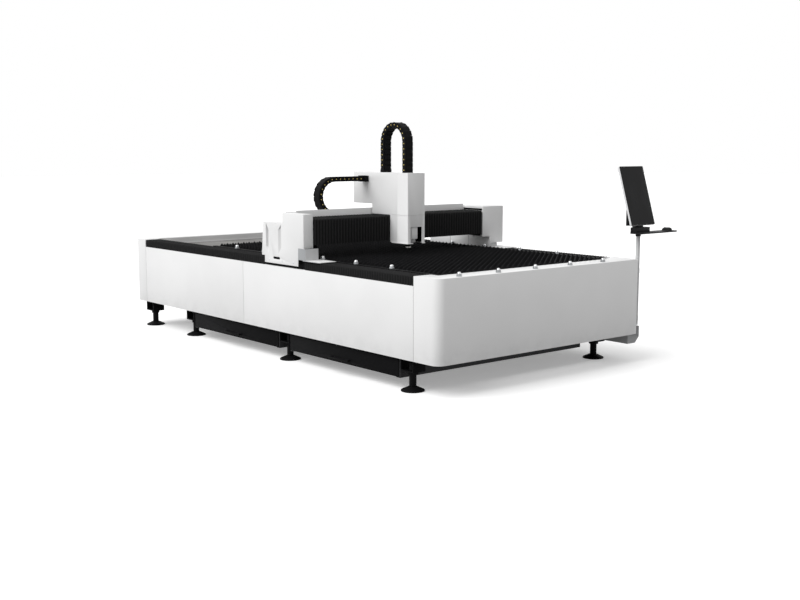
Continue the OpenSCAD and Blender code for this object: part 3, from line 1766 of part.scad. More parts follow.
module cutting_head() {
  half = head_block_w / 2;
  color(steel) placed()
    translate([car_x, head_y, 0]) {
      translate([0, 0, sensor_z]) cylinder(d = sensor_d, h = sensor_h);
      block([-half, -half, block_z], [half, half, barrel_z]);
      translate([-housing_shift, 0, 0])
        block(
          [-housing_w / 2, -half - housing_l, block_z + housing_rise],
          [housing_w / 2, -half / 2, barrel_z]
        );
      translate([0, 0, barrel_z]) cylinder(d = barrel_d, h = barrel_h);
      translate([0, 0, collimator_z]) cylinder(d = collimator_d, h = collimator_h);
      translate([0, 0, collimator_z + collimator_h]) cylinder(d = connector_d, h = connector_h);
      block([-half / 2, 0, block_z + head_block_h / 2], [half / 2, head_front_y - head_y, collimator_z]);
    }
}

module nozzle() {
  tip_share = 0.3;
  rim_share = 0.82;
  base = sensor_d / 2;
  color(nozzle_metal) placed()
    translate([car_x, head_y, nozzle_z])
      rotate_extrude()
        polygon([
          [nozzle_bore / 2, 0], [base * tip_share, 0], [base * rim_share, nozzle_h / 2],
          [base * rim_share, nozzle_h], [nozzle_bore / 2, nozzle_h]
        ]);
}

side_beams();
cross_beams();
foot_brackets();
foot_studs();
foot_pads();
front_end_cover();
rear_end_cover();
side_panels();
slat_combs();
slats();
slag_chutes();
drawer_runners();
ball_bars();
ball_cups();
transfer_balls();
rear_deck();
y_rails();
y_racks();
left_front_bellows();
left_rear_bellows();
right_front_bellows();
right_rear_bellows();
chain_trough();
y_chain();
console_pole();
front_drawer();
rear_drawer();
control_tray();
monitor_stand();
mouse();
monitor_shell();
monitor_screen();
gantry_beam();
gantry_feet();
y_guide_blocks();
y_motors();
left_end_cover();
right_end_cover();
foot_shields();
x_rails();
x_rack();
chain_tray();
left_x_bellows();
right_x_bellows();
x_chain();
chain_arm();
left_y_pinion();
right_y_pinion();
x_pinion();
carriage_plate();
x_guide_blocks();
carriage_cover();
head_cover();
carriage_motors();
z_rails();
z_chain();
z_screw();
head_plate();
cutting_head();
nozzle();
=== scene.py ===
import json
import math

import bmesh
import bpy
from mathutils import Matrix, Vector
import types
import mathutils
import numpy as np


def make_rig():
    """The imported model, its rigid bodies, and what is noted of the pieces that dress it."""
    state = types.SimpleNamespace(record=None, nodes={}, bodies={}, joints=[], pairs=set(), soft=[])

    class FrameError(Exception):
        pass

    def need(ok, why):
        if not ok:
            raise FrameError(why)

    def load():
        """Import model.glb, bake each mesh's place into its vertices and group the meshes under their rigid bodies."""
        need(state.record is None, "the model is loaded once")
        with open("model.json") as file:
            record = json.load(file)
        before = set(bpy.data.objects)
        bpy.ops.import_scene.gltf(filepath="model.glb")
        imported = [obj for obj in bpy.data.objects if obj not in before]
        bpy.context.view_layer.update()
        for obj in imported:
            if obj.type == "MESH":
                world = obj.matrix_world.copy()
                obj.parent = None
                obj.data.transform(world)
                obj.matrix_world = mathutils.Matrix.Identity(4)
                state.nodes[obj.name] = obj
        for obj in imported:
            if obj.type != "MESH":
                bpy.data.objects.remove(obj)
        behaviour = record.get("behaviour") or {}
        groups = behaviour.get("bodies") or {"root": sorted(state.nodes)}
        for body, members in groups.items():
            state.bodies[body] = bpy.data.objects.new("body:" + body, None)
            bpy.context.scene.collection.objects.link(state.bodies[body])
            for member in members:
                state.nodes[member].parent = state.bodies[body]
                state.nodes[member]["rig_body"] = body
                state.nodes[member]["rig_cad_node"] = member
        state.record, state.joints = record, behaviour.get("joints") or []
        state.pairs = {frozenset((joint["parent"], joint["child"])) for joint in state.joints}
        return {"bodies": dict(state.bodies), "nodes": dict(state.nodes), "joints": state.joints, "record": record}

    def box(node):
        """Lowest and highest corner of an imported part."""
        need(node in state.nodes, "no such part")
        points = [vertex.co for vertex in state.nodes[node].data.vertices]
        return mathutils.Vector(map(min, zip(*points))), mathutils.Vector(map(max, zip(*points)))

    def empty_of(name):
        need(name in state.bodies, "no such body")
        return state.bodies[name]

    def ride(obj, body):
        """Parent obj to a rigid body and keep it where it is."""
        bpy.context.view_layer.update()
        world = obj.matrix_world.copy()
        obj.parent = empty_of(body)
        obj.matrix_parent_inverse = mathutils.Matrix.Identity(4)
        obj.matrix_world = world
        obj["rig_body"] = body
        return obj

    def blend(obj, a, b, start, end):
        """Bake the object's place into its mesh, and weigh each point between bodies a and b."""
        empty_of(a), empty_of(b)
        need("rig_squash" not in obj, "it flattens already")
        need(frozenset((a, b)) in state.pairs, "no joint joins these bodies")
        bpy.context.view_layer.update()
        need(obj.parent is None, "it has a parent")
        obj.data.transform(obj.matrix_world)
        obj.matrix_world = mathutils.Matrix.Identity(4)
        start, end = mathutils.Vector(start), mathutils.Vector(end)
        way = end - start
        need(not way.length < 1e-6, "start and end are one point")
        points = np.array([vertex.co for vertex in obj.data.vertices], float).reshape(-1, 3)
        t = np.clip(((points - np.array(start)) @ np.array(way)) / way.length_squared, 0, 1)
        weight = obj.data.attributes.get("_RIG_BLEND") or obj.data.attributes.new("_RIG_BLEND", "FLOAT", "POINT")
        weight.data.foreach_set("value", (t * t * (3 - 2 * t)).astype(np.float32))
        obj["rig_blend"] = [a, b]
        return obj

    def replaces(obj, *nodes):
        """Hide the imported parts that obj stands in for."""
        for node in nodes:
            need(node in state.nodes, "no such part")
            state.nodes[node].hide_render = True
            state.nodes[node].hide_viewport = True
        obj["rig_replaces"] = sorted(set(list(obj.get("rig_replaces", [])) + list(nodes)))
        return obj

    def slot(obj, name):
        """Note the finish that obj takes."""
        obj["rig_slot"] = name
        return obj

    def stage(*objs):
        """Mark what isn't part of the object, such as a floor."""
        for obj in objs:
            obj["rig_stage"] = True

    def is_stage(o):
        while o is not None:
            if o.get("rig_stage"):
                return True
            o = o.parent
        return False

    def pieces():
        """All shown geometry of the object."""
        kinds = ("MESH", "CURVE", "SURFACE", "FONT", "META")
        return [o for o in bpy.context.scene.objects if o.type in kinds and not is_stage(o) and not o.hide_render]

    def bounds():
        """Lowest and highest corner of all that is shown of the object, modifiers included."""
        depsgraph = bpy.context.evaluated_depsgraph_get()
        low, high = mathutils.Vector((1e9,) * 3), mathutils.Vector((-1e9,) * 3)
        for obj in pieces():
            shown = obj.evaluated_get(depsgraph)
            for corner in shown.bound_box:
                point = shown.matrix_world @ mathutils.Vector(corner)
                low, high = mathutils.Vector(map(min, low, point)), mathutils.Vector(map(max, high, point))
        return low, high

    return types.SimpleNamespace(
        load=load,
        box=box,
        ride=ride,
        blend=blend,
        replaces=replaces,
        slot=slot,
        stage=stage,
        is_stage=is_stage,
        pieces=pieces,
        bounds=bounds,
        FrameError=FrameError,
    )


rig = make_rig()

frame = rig.load()
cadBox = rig.bounds()
nodes = frame["nodes"]
bodyOf = {n: b for b, names in frame["record"]["behaviour"]["bodies"].items() for n in names}
print("frame loaded:", len(nodes), "nodes")


# where a node is, at rest

def corners(node):  # lowest and highest
    return [Vector(corner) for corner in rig.box(node)]


def low(node, axis):
    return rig.box(node)[0][axis]


def high(node, axis):
    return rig.box(node)[1][axis]


def middleOf(node, axis):
    return (low(node, axis) + high(node, axis)) / 2


# shader maths

class Signal:  # a value socket that can be used in sums
    def __init__(self, finish, socket):
        self.finish = finish
        self.socket = socket

    def maths(self, operation, *values):
        sockets = dict(enumerate(values))
        return self.finish.add("ShaderNodeMath", {"operation": operation}, sockets)

    def __add__(self, other):
        return self.maths("ADD", self, other)

    def __radd__(self, other):
        return self.maths("ADD", other, self)

    def __sub__(self, other):
        return self.maths("SUBTRACT", self, other)

    def __rsub__(self, other):
        return self.maths("SUBTRACT", other, self)

    def __mul__(self, other):
        return self.maths("MULTIPLY", self, other)

    def __rmul__(self, other):
        return self.maths("MULTIPLY", other, self)

    def __abs__(self):
        return self.maths("ABSOLUTE", self)

    def ramp(self, lowest, highest, fromValue=0.0, toValue=1.0):
        settings = {"clamp": True, "interpolation_type": "SMOOTHSTEP"}
        sockets = {"Value": self, "From Min": lowest, "From Max": highest, "To Min": fromValue, "To Max": toValue}
        return self.finish.add("ShaderNodeMapRange", settings, sockets)


class NodeBench:  # adds and wires the nodes of one tree
    def __init__(self, tree):
        self.tree = tree

    def feed(self, socket, value):
        if isinstance(value, Signal):
            self.tree.links.new(value.socket, socket)
        elif socket.type == "RGBA" and len(value) == 3:
            socket.default_value = (*value, 1)
        else:
            socket.default_value = value

    def add(self, kind, settings=None, sockets=None, output=0):
        node = self.tree.nodes.new(kind)
        for key, value in (settings or {}).items():
            setattr(node, key, value)
        for key, value in (sockets or {}).items():
            self.feed(node.inputs[key], value)
        return Signal(self, node.outputs[output]) if node.outputs else None

    def seen(self):  # 1 where the camera, a reflection or a clear surface looks
        rays = [self.add("ShaderNodeLightPath", output=ray)
                for ray in ("Is Camera Ray", "Is Glossy Ray", "Is Transmission Ray")]
        return rays[0] + rays[1] + rays[2]


class Finish(NodeBench):  # one material: fixed values go on the shader, the rest through add()
    def __init__(self, name, **fixed):
        self.material = bpy.data.materials.new(name)
        self.material.use_nodes = True
        super().__init__(self.material.node_tree)
        self.shader = self.tree.nodes["Principled BSDF"]
        self.place = self.add("ShaderNodeTexCoord", output="Object")
        for key, value in fixed.items():
            self.feed(self.shader.inputs[key.replace("_", " ")], value)

    def noise(self, scale, detail=3, stretch=(1, 1, 1), rough=0.5):
        where = self.add("ShaderNodeMapping", None, {"Vector": self.place, "Scale": stretch})
        return self.add("ShaderNodeTexNoise", None,
                        {"Vector": where, "Scale": scale, "Detail": detail, "Roughness": rough})

    def axis(self, letter):
        return self.add("ShaderNodeSeparateXYZ", None, {"Vector": self.place}, letter)

    def mix(self, share, first, second):
        return self.add("ShaderNodeMix", {"data_type": "RGBA"}, {"Factor": share, 6: first, 7: second}, 2)

    def colour(self, value):
        self.feed(self.shader.inputs["Base Color"], value)
        return self

    def roughness(self, value):
        self.feed(self.shader.inputs["Roughness"], value)
        return self

    def bump(self, height, strength, distance):
        normal = self.add("ShaderNodeBump", None,
                          {"Height": height, "Strength": strength, "Distance": distance}, "Normal")
        self.feed(self.shader.inputs["Normal"], normal)
        return self


def tint(colour, share):
    return tuple(c * share for c in colour)


# powder coat: fine orange peel, faint tone drift, dust that gathers low on the panels
powderLook = {
    "driftScale": 1.7, "driftRange": (0.3, 0.7), "dull": 0.975, "pale": 1.015,
    "grimeScale": 9, "grimeRange": (0.35, 0.7), "dustTone": 0.45, "dustRough": 0.5,
    "roughSpread": 0.12, "peelScale": 520, "bump": 0.09, "depth": 0.0004,
}


def powderCoat(name, colour, rough, dust=0.12, dustFrom=0.24, dustTo=0.42, shine=0.5):
    p = powderLook
    f = Finish(name, Specular_IOR_Level=shine)
    drift = f.noise(p["driftScale"], 2)
    grime = f.noise(p["grimeScale"], 5, rough=0.65)
    settled = (1 - f.axis("Z").ramp(dustFrom, dustTo)) * grime.ramp(*p["grimeRange"]) * dust
    toned = f.mix(drift.ramp(*p["driftRange"]), tint(colour, p["dull"]), tint(colour, p["pale"]))
    f.colour(f.mix(settled, toned, tint(colour, p["dustTone"])))
    f.roughness(rough + (grime - 0.5) * p["roughSpread"] + settled * p["dustRough"])
    return f.bump(f.noise(p["peelScale"], 2), p["bump"], p["depth"]).material


# deck behind the table: pale paint with patchy painted shade across its middle, and none along both sides
deckLook = {
    "soot": (0.15, 0.147, 0.143), "sootTo": 0.76, "cleanFrom": 0.93,  # distances from the middle
    "smearScale": 3.2, "smearStretch": (1, 0.45, 1), "smearRange": (0.15, 0.6), "cover": (0.72, 0.95), "wander": 0.1,
    "rough": 0.5, "roughSpread": 0.25, "grainScale": 300, "bump": 0.12, "depth": 0.0005,
}


def sootyDeck(name, colour):
    d = deckLook
    f = Finish(name, Specular_IOR_Level=0.2)
    mottle = f.noise(d["smearScale"], 5, d["smearStretch"], 0.62)
    reach = abs(f.axis("X") - middleOf("rear_deck", 0)) + (mottle - 0.5) * d["wander"]
    # painted shade: full across the middle of the deck, fading out towards both sides
    soot = 1 - reach.ramp(d["sootTo"], d["cleanFrom"])
    f.colour(f.mix(soot * mottle.ramp(*d["smearRange"], *d["cover"]), colour, d["soot"]))
    f.roughness(d["rough"] + mottle * d["roughSpread"])
    return f.bump(f.noise(d["grainScale"], 3) + mottle, d["bump"], d["depth"]).material


# ground steel: streaks along one axis, a little oil staining
steelLook = {
    "streakScale": 24, "stainScale": 6, "stainRange": (0.45, 0.75), "stained": 0.72, "oilRange": (0.5, 0.8),
    "oilRough": 0.1, "roughSpread": 0.22, "bump": 0.08, "depth": 0.0003,
}


def groundSteel(name, colour, rough, stretch):
    s = steelLook
    f = Finish(name, Metallic=1.0)
    streak = f.noise(s["streakScale"], 4, stretch)
    stain = f.noise(s["stainScale"], 4)
    f.colour(f.mix(stain.ramp(*s["stainRange"]), colour, tint(colour, s["stained"])))
    f.roughness(rough + (streak - 0.5) * s["roughSpread"] + stain.ramp(*s["oilRange"]) * s["oilRough"])
    return f.bump(streak, s["bump"], s["depth"]).material


# slats: hot-rolled scale, burnt darker towards the teeth, with spatter
slatLook = {
    "burnt": (0.012, 0.012, 0.013), "burnFrom": 0.82, "burnTo": 0.895, "burnShare": 0.55,
    "crustScale": 34, "crustRange": (0.3, 0.72), "dull": 0.62, "pale": 1.3,
    "spatterScale": 170.0, "beadRange": (0.05, 0.22), "beadHeight": 1.4, "beadShine": 0.1,
    "rough": 0.44, "roughSpread": 0.3, "bump": 0.32, "depth": 0.0008,
}


def scaledSteel(name, colour):
    s = slatLook
    f = Finish(name, Metallic=0.15, Specular_IOR_Level=0.1)
    crust = f.noise(s["crustScale"], 6, rough=0.7)
    burn = f.axis("Z").ramp(s["burnFrom"], s["burnTo"])
    spatter = f.add("ShaderNodeTexVoronoi", None, {"Vector": f.place, "Scale": s["spatterScale"]}, "Distance")
    bead = (1 - spatter.ramp(*s["beadRange"])) * burn
    body = f.mix(crust.ramp(*s["crustRange"]), tint(colour, s["dull"]), tint(colour, s["pale"]))
    f.colour(f.mix(burn * s["burnShare"], body, s["burnt"]))
    f.roughness(s["rough"] + crust * s["roughSpread"] - bead * s["beadShine"])
    return f.bump(crust + bead * s["beadHeight"], s["bump"], s["depth"]).material


# coated bellows cloth: tight weave under a thin coating, with painted shade in the valleys of the folds and painted
# light along the ridges
clothLook = {
    "weaveScale": 330.0, "weaveHeight": 0.5, "fuzzScale": 60, "fuzzRange": (0.35, 0.75), "dull": 0.8, "pale": 1.3,
    "valleyTone": 0.3, "rough": 0.55, "roughSpread": 0.2, "bump": 0.16, "depth": 0.0005,
}


def bellowsCloth(name, colour, letter, valley, ridge):
    c = clothLook
    f = Finish(name, Specular_IOR_Level=0.1)
    # painted light and shade: darker in the valleys of the folds, paler on the ridges
    wearAndRidgeLight = f.axis(letter).ramp(valley, ridge)
    weave = f.add("ShaderNodeTexWave", {"wave_type": "BANDS", "bands_direction": "DIAGONAL"},
                  {"Vector": f.place, "Scale": c["weaveScale"], "Distortion": 0.6, "Detail": 1.0})
    fuzz = f.noise(c["fuzzScale"], 4)
    body = f.mix(fuzz.ramp(*c["fuzzRange"]), tint(colour, c["dull"]), tint(colour, c["pale"]))
    f.colour(f.mix(wearAndRidgeLight, tint(colour, c["valleyTone"]), body))
    f.roughness(c["rough"] + fuzz * c["roughSpread"])
    return f.bump(weave * c["weaveHeight"] + fuzz, c["bump"], c["depth"]).material


# moulded plastic: spark-eroded grain, lightly rubbed
plasticLook = {"rubScale": 14, "rubRange": (0.4, 0.75), "roughSpread": 0.16, "depth": 0.0004}


def mouldedPlastic(name, colour, rough, grain=640, bump=0.16, shine=0.3, wearAndRidgeLight=1.35):
    p = plasticLook
    f = Finish(name, Specular_IOR_Level=shine)
    rub = f.noise(p["rubScale"], 4)
    f.colour(f.mix(rub.ramp(*p["rubRange"]), colour, tint(colour, wearAndRidgeLight)))
    f.roughness(rough + (rub - 0.5) * p["roughSpread"])
    return f.bump(f.noise(grain, 3, rough=0.6), bump, p["depth"]).material


# primer and blackened metal: cloudy, with fine specks
primerLook = {
    "cloudScale": 5, "cloudRange": (0.3, 0.7), "dull": 0.82, "pale": 1.12, "roughSpread": 0.2, "speckScale": 260,
    "bump": 0.12, "depth": 0.0005,
}


def primer(name, colour, rough=0.62, shine=0.3):
    p = primerLook
    f = Finish(name, Specular_IOR_Level=shine)
    cloud = f.noise(p["cloudScale"], 5, rough=0.6)
    f.colour(f.mix(cloud.ramp(*p["cloudRange"]), tint(colour, p["dull"]), tint(colour, p["pale"])))
    f.roughness(rough + (cloud - 0.5) * p["roughSpread"])
    return f.bump(f.noise(p["speckScale"], 2), p["bump"], p["depth"]).material


# turned metal: rings left by the tool, stained by heat
turnedLook = {
    "ringScale": 30, "ringStretch": (1, 1, 70), "heatScale": 40, "heatRange": (0.4, 0.7), "heatTone": 0.62,
    "rough": 0.24, "roughSpread": 0.18, "bump": 0.1, "depth": 0.0003,
}


def turnedMetal(name, colour):
    t = turnedLook
    f = Finish(name, Metallic=1.0)
    ring = f.noise(t["ringScale"], 2, t["ringStretch"])
    heat = f.noise(t["heatScale"], 3)
    f.colour(f.mix(heat.ramp(*t["heatRange"]), colour, tint(colour, t["heatTone"])))
    f.roughness(t["rough"] + ring * t["roughSpread"])
    return f.bump(ring, t["bump"], t["depth"]).material


# switched-off screen: dark glass with a faint film of dust
screenLook = {
    "glass": (0.005, 0.005, 0.0055), "dust": (0.01, 0.01, 0.011), "filmScale": 7, "filmStretch": (1, 1, 0.4),
    "dustRange": (0.45, 0.8), "dullRange": (0.4, 0.8), "rough": 0.16, "dustRough": 0.14,
}


def darkScreen(name):
    s = screenLook
    f = Finish(name, Specular_IOR_Level=0.12)
    film = f.noise(s["filmScale"], 5, s["filmStretch"])
    f.colour(f.mix(film.ramp(*s["dustRange"]), s["glass"], s["dust"]))
    return f.roughness(s["rough"] + film.ramp(*s["dullRange"]) * s["dustRough"]).material


colours = {
    "white": (0.80, 0.80, 0.80),
    "grey": (0.50, 0.505, 0.51),
    "paleDeck": (0.70, 0.69, 0.66),
    "black": (0.005, 0.005, 0.0054),
    "shade": (0.66, 0.66, 0.66),
    "smoke": (0.31, 0.32, 0.33),
    "frame": (0.035, 0.035, 0.037),
    "stud": (0.006, 0.006, 0.0065),
    "motor": (0.012, 0.012, 0.013),
    "slat": (0.022, 0.022, 0.0235),
    "steel": (0.60, 0.61, 0.63),
    "ball": (0.68, 0.69, 0.7),
    # cup: steel darkened as painted shade round the base of each ball
    "cup": (0.36, 0.37, 0.38),
    "chain": (0.005, 0.005, 0.0053),
    "pin": (0.66, 0.52, 0.17),
    "cloth": (0.015, 0.015, 0.0154),
    "joint": (0.22, 0.22, 0.22),
    "plastic": (0.011, 0.011, 0.012),
    "shell": (0.74, 0.74, 0.75),
    "housing": (0.86, 0.86, 0.86),
    "nozzle": (0.70, 0.69, 0.67),
}
paint = {
    "white": powderCoat("whitePowderCoat", colours["white"], 0.4),
    "grey": powderCoat("greyPowderCoat", colours["grey"], 0.42, dust=0.1),
    "deck": sootyDeck("sootyDeck", colours["paleDeck"]),
    "black": powderCoat("blackSatinPaint", colours["black"], 0.55, dust=0.05, dustFrom=0.0, dustTo=0.2, shine=0.03),
    # scoop slopes: the white paint greyed as painted shade
    "shade": powderCoat("scoopPowderCoat", colours["shade"], 0.45),
    "smoke": powderCoat("smokedShield", colours["smoke"], 0.36),
    "housing": powderCoat("headHousingPaint", colours["housing"], 0.4, dust=0.0),
    "frame": primer("framePrimer", colours["frame"]),
    "stud": primer("blackenedStud", colours["stud"], 0.5, shine=0.05),
    "motor": primer("motorPaint", colours["motor"], 0.45),
    "slat": scaledSteel("scaledSlatSteel", colours["slat"]),
    "railY": groundSteel("groundRailSteel", colours["steel"], 0.28, (60, 1, 60)),
    "railX": groundSteel("groundCrossSteel", colours["steel"], 0.28, (1, 60, 60)),
    "railZ": groundSteel("groundLiftSteel", colours["steel"], 0.28, (60, 60, 1)),
    "ball": groundSteel("polishedBallSteel", colours["ball"], 0.16, (4, 4, 4)),
    "cup": groundSteel("cupSteel", colours["cup"], 0.3, (4, 4, 40)),
    "joint": mouldedPlastic("jointSealant", colours["joint"], 0.6, grain=400, bump=0.1, shine=0.1),
    "chain": mouldedPlastic("chainPlastic", colours["chain"], 0.55, shine=0.05),
    "pin": mouldedPlastic("pinPlastic", colours["pin"], 0.4, grain=800, bump=0.05),
    "plastic": mouldedPlastic("consolePlastic", colours["plastic"], 0.5, shine=0.12),
    "shell": mouldedPlastic("shellPlastic", colours["shell"], 0.38, grain=700, bump=0.06, shine=0.5, wearAndRidgeLight=1.03),
    "nozzle": turnedMetal("turnedNozzle", colours["nozzle"]),
    "screen": darkScreen("darkScreen"),
}
print("finishes made:", len(paint))

finishOf = {
    "white": ["front_end_cover", "rear_end_cover", "side_panels", "left_end_cover", "right_end_cover", "chain_tray",
              "carriage_cover", "head_cover"],
    "grey": ["console_pole", "foot_shields", "chain_arm", "chain_trough"],
    "deck": ["rear_deck"],
    # head_plate is black as painted shade, so the inside of the head reads dark
    "black": ["foot_brackets", "front_drawer", "rear_drawer", "ball_bars", "head_plate"],
    "frame": ["side_beams", "cross_beams", "slag_chutes", "drawer_runners", "gantry_beam", "carriage_plate"],
    "stud": ["foot_studs", "foot_pads", "gantry_feet"],
    "slat": ["slat_combs", "slats"],
    "railY": ["y_rails", "y_racks", "y_guide_blocks", "left_y_pinion", "right_y_pinion"],
    "railX": ["x_rails", "x_rack", "x_guide_blocks", "x_pinion"],
    "railZ": ["z_rails", "z_screw"],
    "ball": ["ball_cups", "transfer_balls"],
    "plastic": ["control_tray", "monitor_stand", "mouse"],
    "shell": ["monitor_shell"],
    "motor": ["y_motors", "carriage_motors"],
    "housing": ["cutting_head"],
    "nozzle": ["nozzle"],
    "screen": ["monitor_screen"],
    "chain": ["y_chain", "x_chain", "z_chain", "left_front_bellows", "left_rear_bellows", "right_front_bellows",
              "right_rear_bellows", "left_x_bellows", "right_x_bellows"],
}
for key, names in finishOf.items():
    for name in names:
        for held in nodes[name].material_slots:
            held.material = paint[key]
print("CAD nodes finished:", sum(len(v) for v in finishOf.values()))


# mesh helpers

mergeWithin = 0.00002


def newPiece(name, bm, *materials):
    mesh = bpy.data.meshes.new(name)
    bmesh.ops.recalc_face_normals(bm, faces=bm.faces)
    bm.to_mesh(mesh)
    bm.free()
    for material in materials:
        mesh.materials.append(material)
    piece = bpy.data.objects.new(name, mesh)
    bpy.context.scene.collection.objects.link(piece)
    return piece


def smoothByAngle(piece, degrees):
    mesh = piece.data
    mesh.shade_smooth()
    mesh.set_sharp_from_angle(angle=math.radians(degrees))


def placed(piece, body, slot, degrees=30):
    smoothByAngle(piece, degrees)
    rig.slot(piece, slot)
    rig.ride(piece, body)
    return piece


def nodeMesh(node):  # a welded copy of a node's mesh
    bm = bmesh.new()
    bm.from_mesh(nodes[node].data)
    bmesh.ops.remove_doubles(bm, verts=bm.verts, dist=mergeWithin)
    return bm


def looseBoxes(node):  # lowest and highest corner of each loose solid of a node
    bm = nodeMesh(node)
    found = []
    for first in bm.verts:
        if first.tag:
            continue
        first.tag = True
        waiting, points = [first], []
        while waiting:
            vert = waiting.pop()
            points.append(vert.co.copy())
            for edge in vert.link_edges:
                other = edge.other_vert(vert)
                if not other.tag:
                    other.tag = True
                    waiting.append(other)
        found.append((Vector(map(min, zip(*points))), Vector(map(max, zip(*points)))))
    bm.free()
    return sorted(found, key=lambda box: [round(c, 5) for c in box[0]])


def addPlate(bm, outline, near, far, place, index=0):  # an outline, thickened from near to far
    ring = [[bm.verts.new(place @ Vector((u, v, w))) for u, v in outline] for w in (near, far)]
    n = len(outline)
    made = [bm.faces.new(ring[0]), bm.faces.new(list(reversed(ring[1])))]
    made += [bm.faces.new((ring[0][i], ring[0][(i + 1) % n], ring[1][(i + 1) % n], ring[1][i])) for i in range(n)]
    for face in made:
        face.material_index = index


def addTurned(bm, profile, place, index=0, steps=20, ring=False):  # radius and height pairs, turned about Z
    turns = [(math.cos(i * math.tau / steps), math.sin(i * math.tau / steps)) for i in range(steps)]
    rows = [[bm.verts.new(place @ Vector((r * c, r * s, h))) for c, s in turns] for r, h in profile]
    made = []
    for a, b in zip(rows, rows[1:] + rows[:1] if ring else rows[1:]):
        made += [bm.faces.new((a[i], a[(i + 1) % steps], b[(i + 1) % steps], b[i])) for i in range(steps)]
    if not ring:
        made += [bm.faces.new(rows[0]), bm.faces.new(rows[-1])]
    for face in made:
        face.material_index = index


def arcPoints(cx, r, start, stop, count):
    step = (stop - start) / (count - 1)
    return [(cx + r * math.cos(start + i * step), r * math.sin(start + i * step)) for i in range(count)]


def blockPiece(name, boxes, edge, finish, body, slot):
    bm = bmesh.new()
    for lo, hi in boxes:
        for vert in bmesh.ops.create_cube(bm, size=1)["verts"]:
            vert.co = [a + (c + 0.5) * (b - a) for a, b, c in zip(lo, hi, vert.co)]
    bmesh.ops.bevel(bm, geom=bm.edges[:], offset=edge, segments=2, profile=0.5, affect="EDGES")
    return placed(newPiece(name, bm, paint[finish]), body, slot)


# the CAD solids again, with their edges broken and a second finish where one is needed; on the scoops and inside the
# head cover that second finish is painted shade

edgeLook = {"flat": 0.8, "sharp": 25, "segments": 2}


def softEdged(node, width, finish, slot, zones=()):
    bm = nodeMesh(node)
    bmesh.ops.dissolve_limit(bm, angle_limit=math.radians(edgeLook["flat"]), verts=bm.verts, edges=bm.edges)
    limit = math.radians(edgeLook["sharp"])
    sharp = [e for e in bm.edges if len(e.link_faces) == 2 and e.calc_face_angle(0) > limit]
    bmesh.ops.bevel(bm, geom=sharp, offset=width, segments=edgeLook["segments"], profile=0.5, affect="EDGES",
                    clamp_overlap=True)
    bm.normal_update()
    for face in bm.faces:
        middle = face.calc_center_median()
        inside = [i for i, (key, test) in enumerate(zones, 1) if test(middle, face.normal)]
        face.material_index = inside[0] if inside else 0
    piece = newPiece(node + "_finished", bm, paint[finish], *[paint[key] for key, test in zones])
    placed(piece, bodyOf[node], slot)
    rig.replaces(piece, node)


# how far each second finish reaches from the lowest side of its piece
zoneLook = {"scoop": 0.003, "chainBlock": 0.0198, "shieldBase": 0.0065, "headCollar": 0.0345}


def onScoop(at, facing):  # slopes of the two scoops, which take grey paint as painted shade
    return (facing.x < -0.3 and abs(facing.y) > 0.2
            and at.x > low("left_end_cover", 0) + zoneLook["scoop"])


def onChainBlock(at, facing):  # the block that the cross chain ends on
    return at.x < low("carriage_cover", 0) + zoneLook["chainBlock"]


def insideHead(at, facing):  # inner side walls, painted black as painted shade so the inside reads dark through the window
    return abs(facing.x) > 0.5 and facing.x * (at.x - middleOf("head_cover", 0)) < 0


def onLeftShield(at, facing):
    return at.x < 0 and at.z > low("foot_shields", 2) + zoneLook["shieldBase"]


edgeBreak = {
    "front_end_cover": (0.0012, "white", "white_paint"),
    "rear_end_cover": (0.0012, "white", "white_paint"),
    "side_panels": (0.0012, "white", "white_paint"),
    "left_end_cover": (0.0012, "white", "white_paint", [("shade", onScoop)]),
    "right_end_cover": (0.0012, "white", "white_paint"),
    "carriage_cover": (0.0012, "white", "white_paint", [("chain", onChainBlock)]),
    "head_cover": (0.0012, "white", "white_paint", [("black", insideHead)]),
    "chain_tray": (0.0011, "white", "white_paint"),
    "foot_shields": (0.0011, "white", "grey_paint", [
        ("smoke", lambda at, facing: onLeftShield(at, facing) and facing.x < -0.5), ("grey", onLeftShield)]),
    "control_tray": (0.003, "plastic", "console_plastic"),
    "monitor_stand": (0.003, "plastic", "console_plastic"),
    "monitor_shell": (0.0022, "shell", "console_plastic", [
        ("plastic", lambda at, facing: facing.y < -0.4)]),  # front bezel
    "cutting_head": (0.0015, "housing", "head_metal", [
        ("plastic", lambda at, facing: at.z < low("cutting_head", 2) + zoneLook["headCollar"])]),
    "foot_pads": (0.0015, "stud", "black_paint"),
    "foot_studs": (0.0015, "stud", "bright_steel"),
    "foot_brackets": (0.0015, "black", "black_paint"),
    "front_drawer": (0.0012, "black", "black_paint"),
    "rear_drawer": (0.0012, "black", "black_paint"),
    "chain_trough": (0.001, "grey", "grey_paint"),
    "chain_arm": (0.001, "grey", "grey_paint"),
    "console_pole": (0.001, "grey", "grey_paint"),
    "gantry_feet": (0.0015, "stud", "frame_paint", [
        ("white", lambda at, facing: at.x > 0 and facing.y < -0.2)]),  # nose of the right foot
}
for node, look in edgeBreak.items():
    softEdged(node, *look)
print("edges broken on", len(edgeBreak), "pieces")


# folded bellows, split along their travel so that the folds close evenly

bellowsLook = {
    "depth": 0.012, "pitch": 0.03, "cloth": 0.0012, "corner": 0.008, "hem": 0.012, "lip": 0.04, "lift": 0.003,
    "fold": ((0, 1), (0.07, 0.94), (0.43, 0.06), (0.5, 0), (0.57, 0.06), (0.93, 0.94)),  # share of a fold, inset
    "splits": (0.0515, 0.1365, 0.5, 0.8635, 0.9485),
}


def bakeModifiers(piece):
    bpy.context.view_layer.update()
    ready = piece.evaluated_get(bpy.context.evaluated_depsgraph_get())
    mesh = bpy.data.meshes.new_from_object(ready)
    piece.modifiers.clear()
    piece.data = mesh


def easeInverse(w):  # where a smooth blend has reached the share w
    return 0.5 - math.sin(math.asin(1 - 2 * w) / 3)


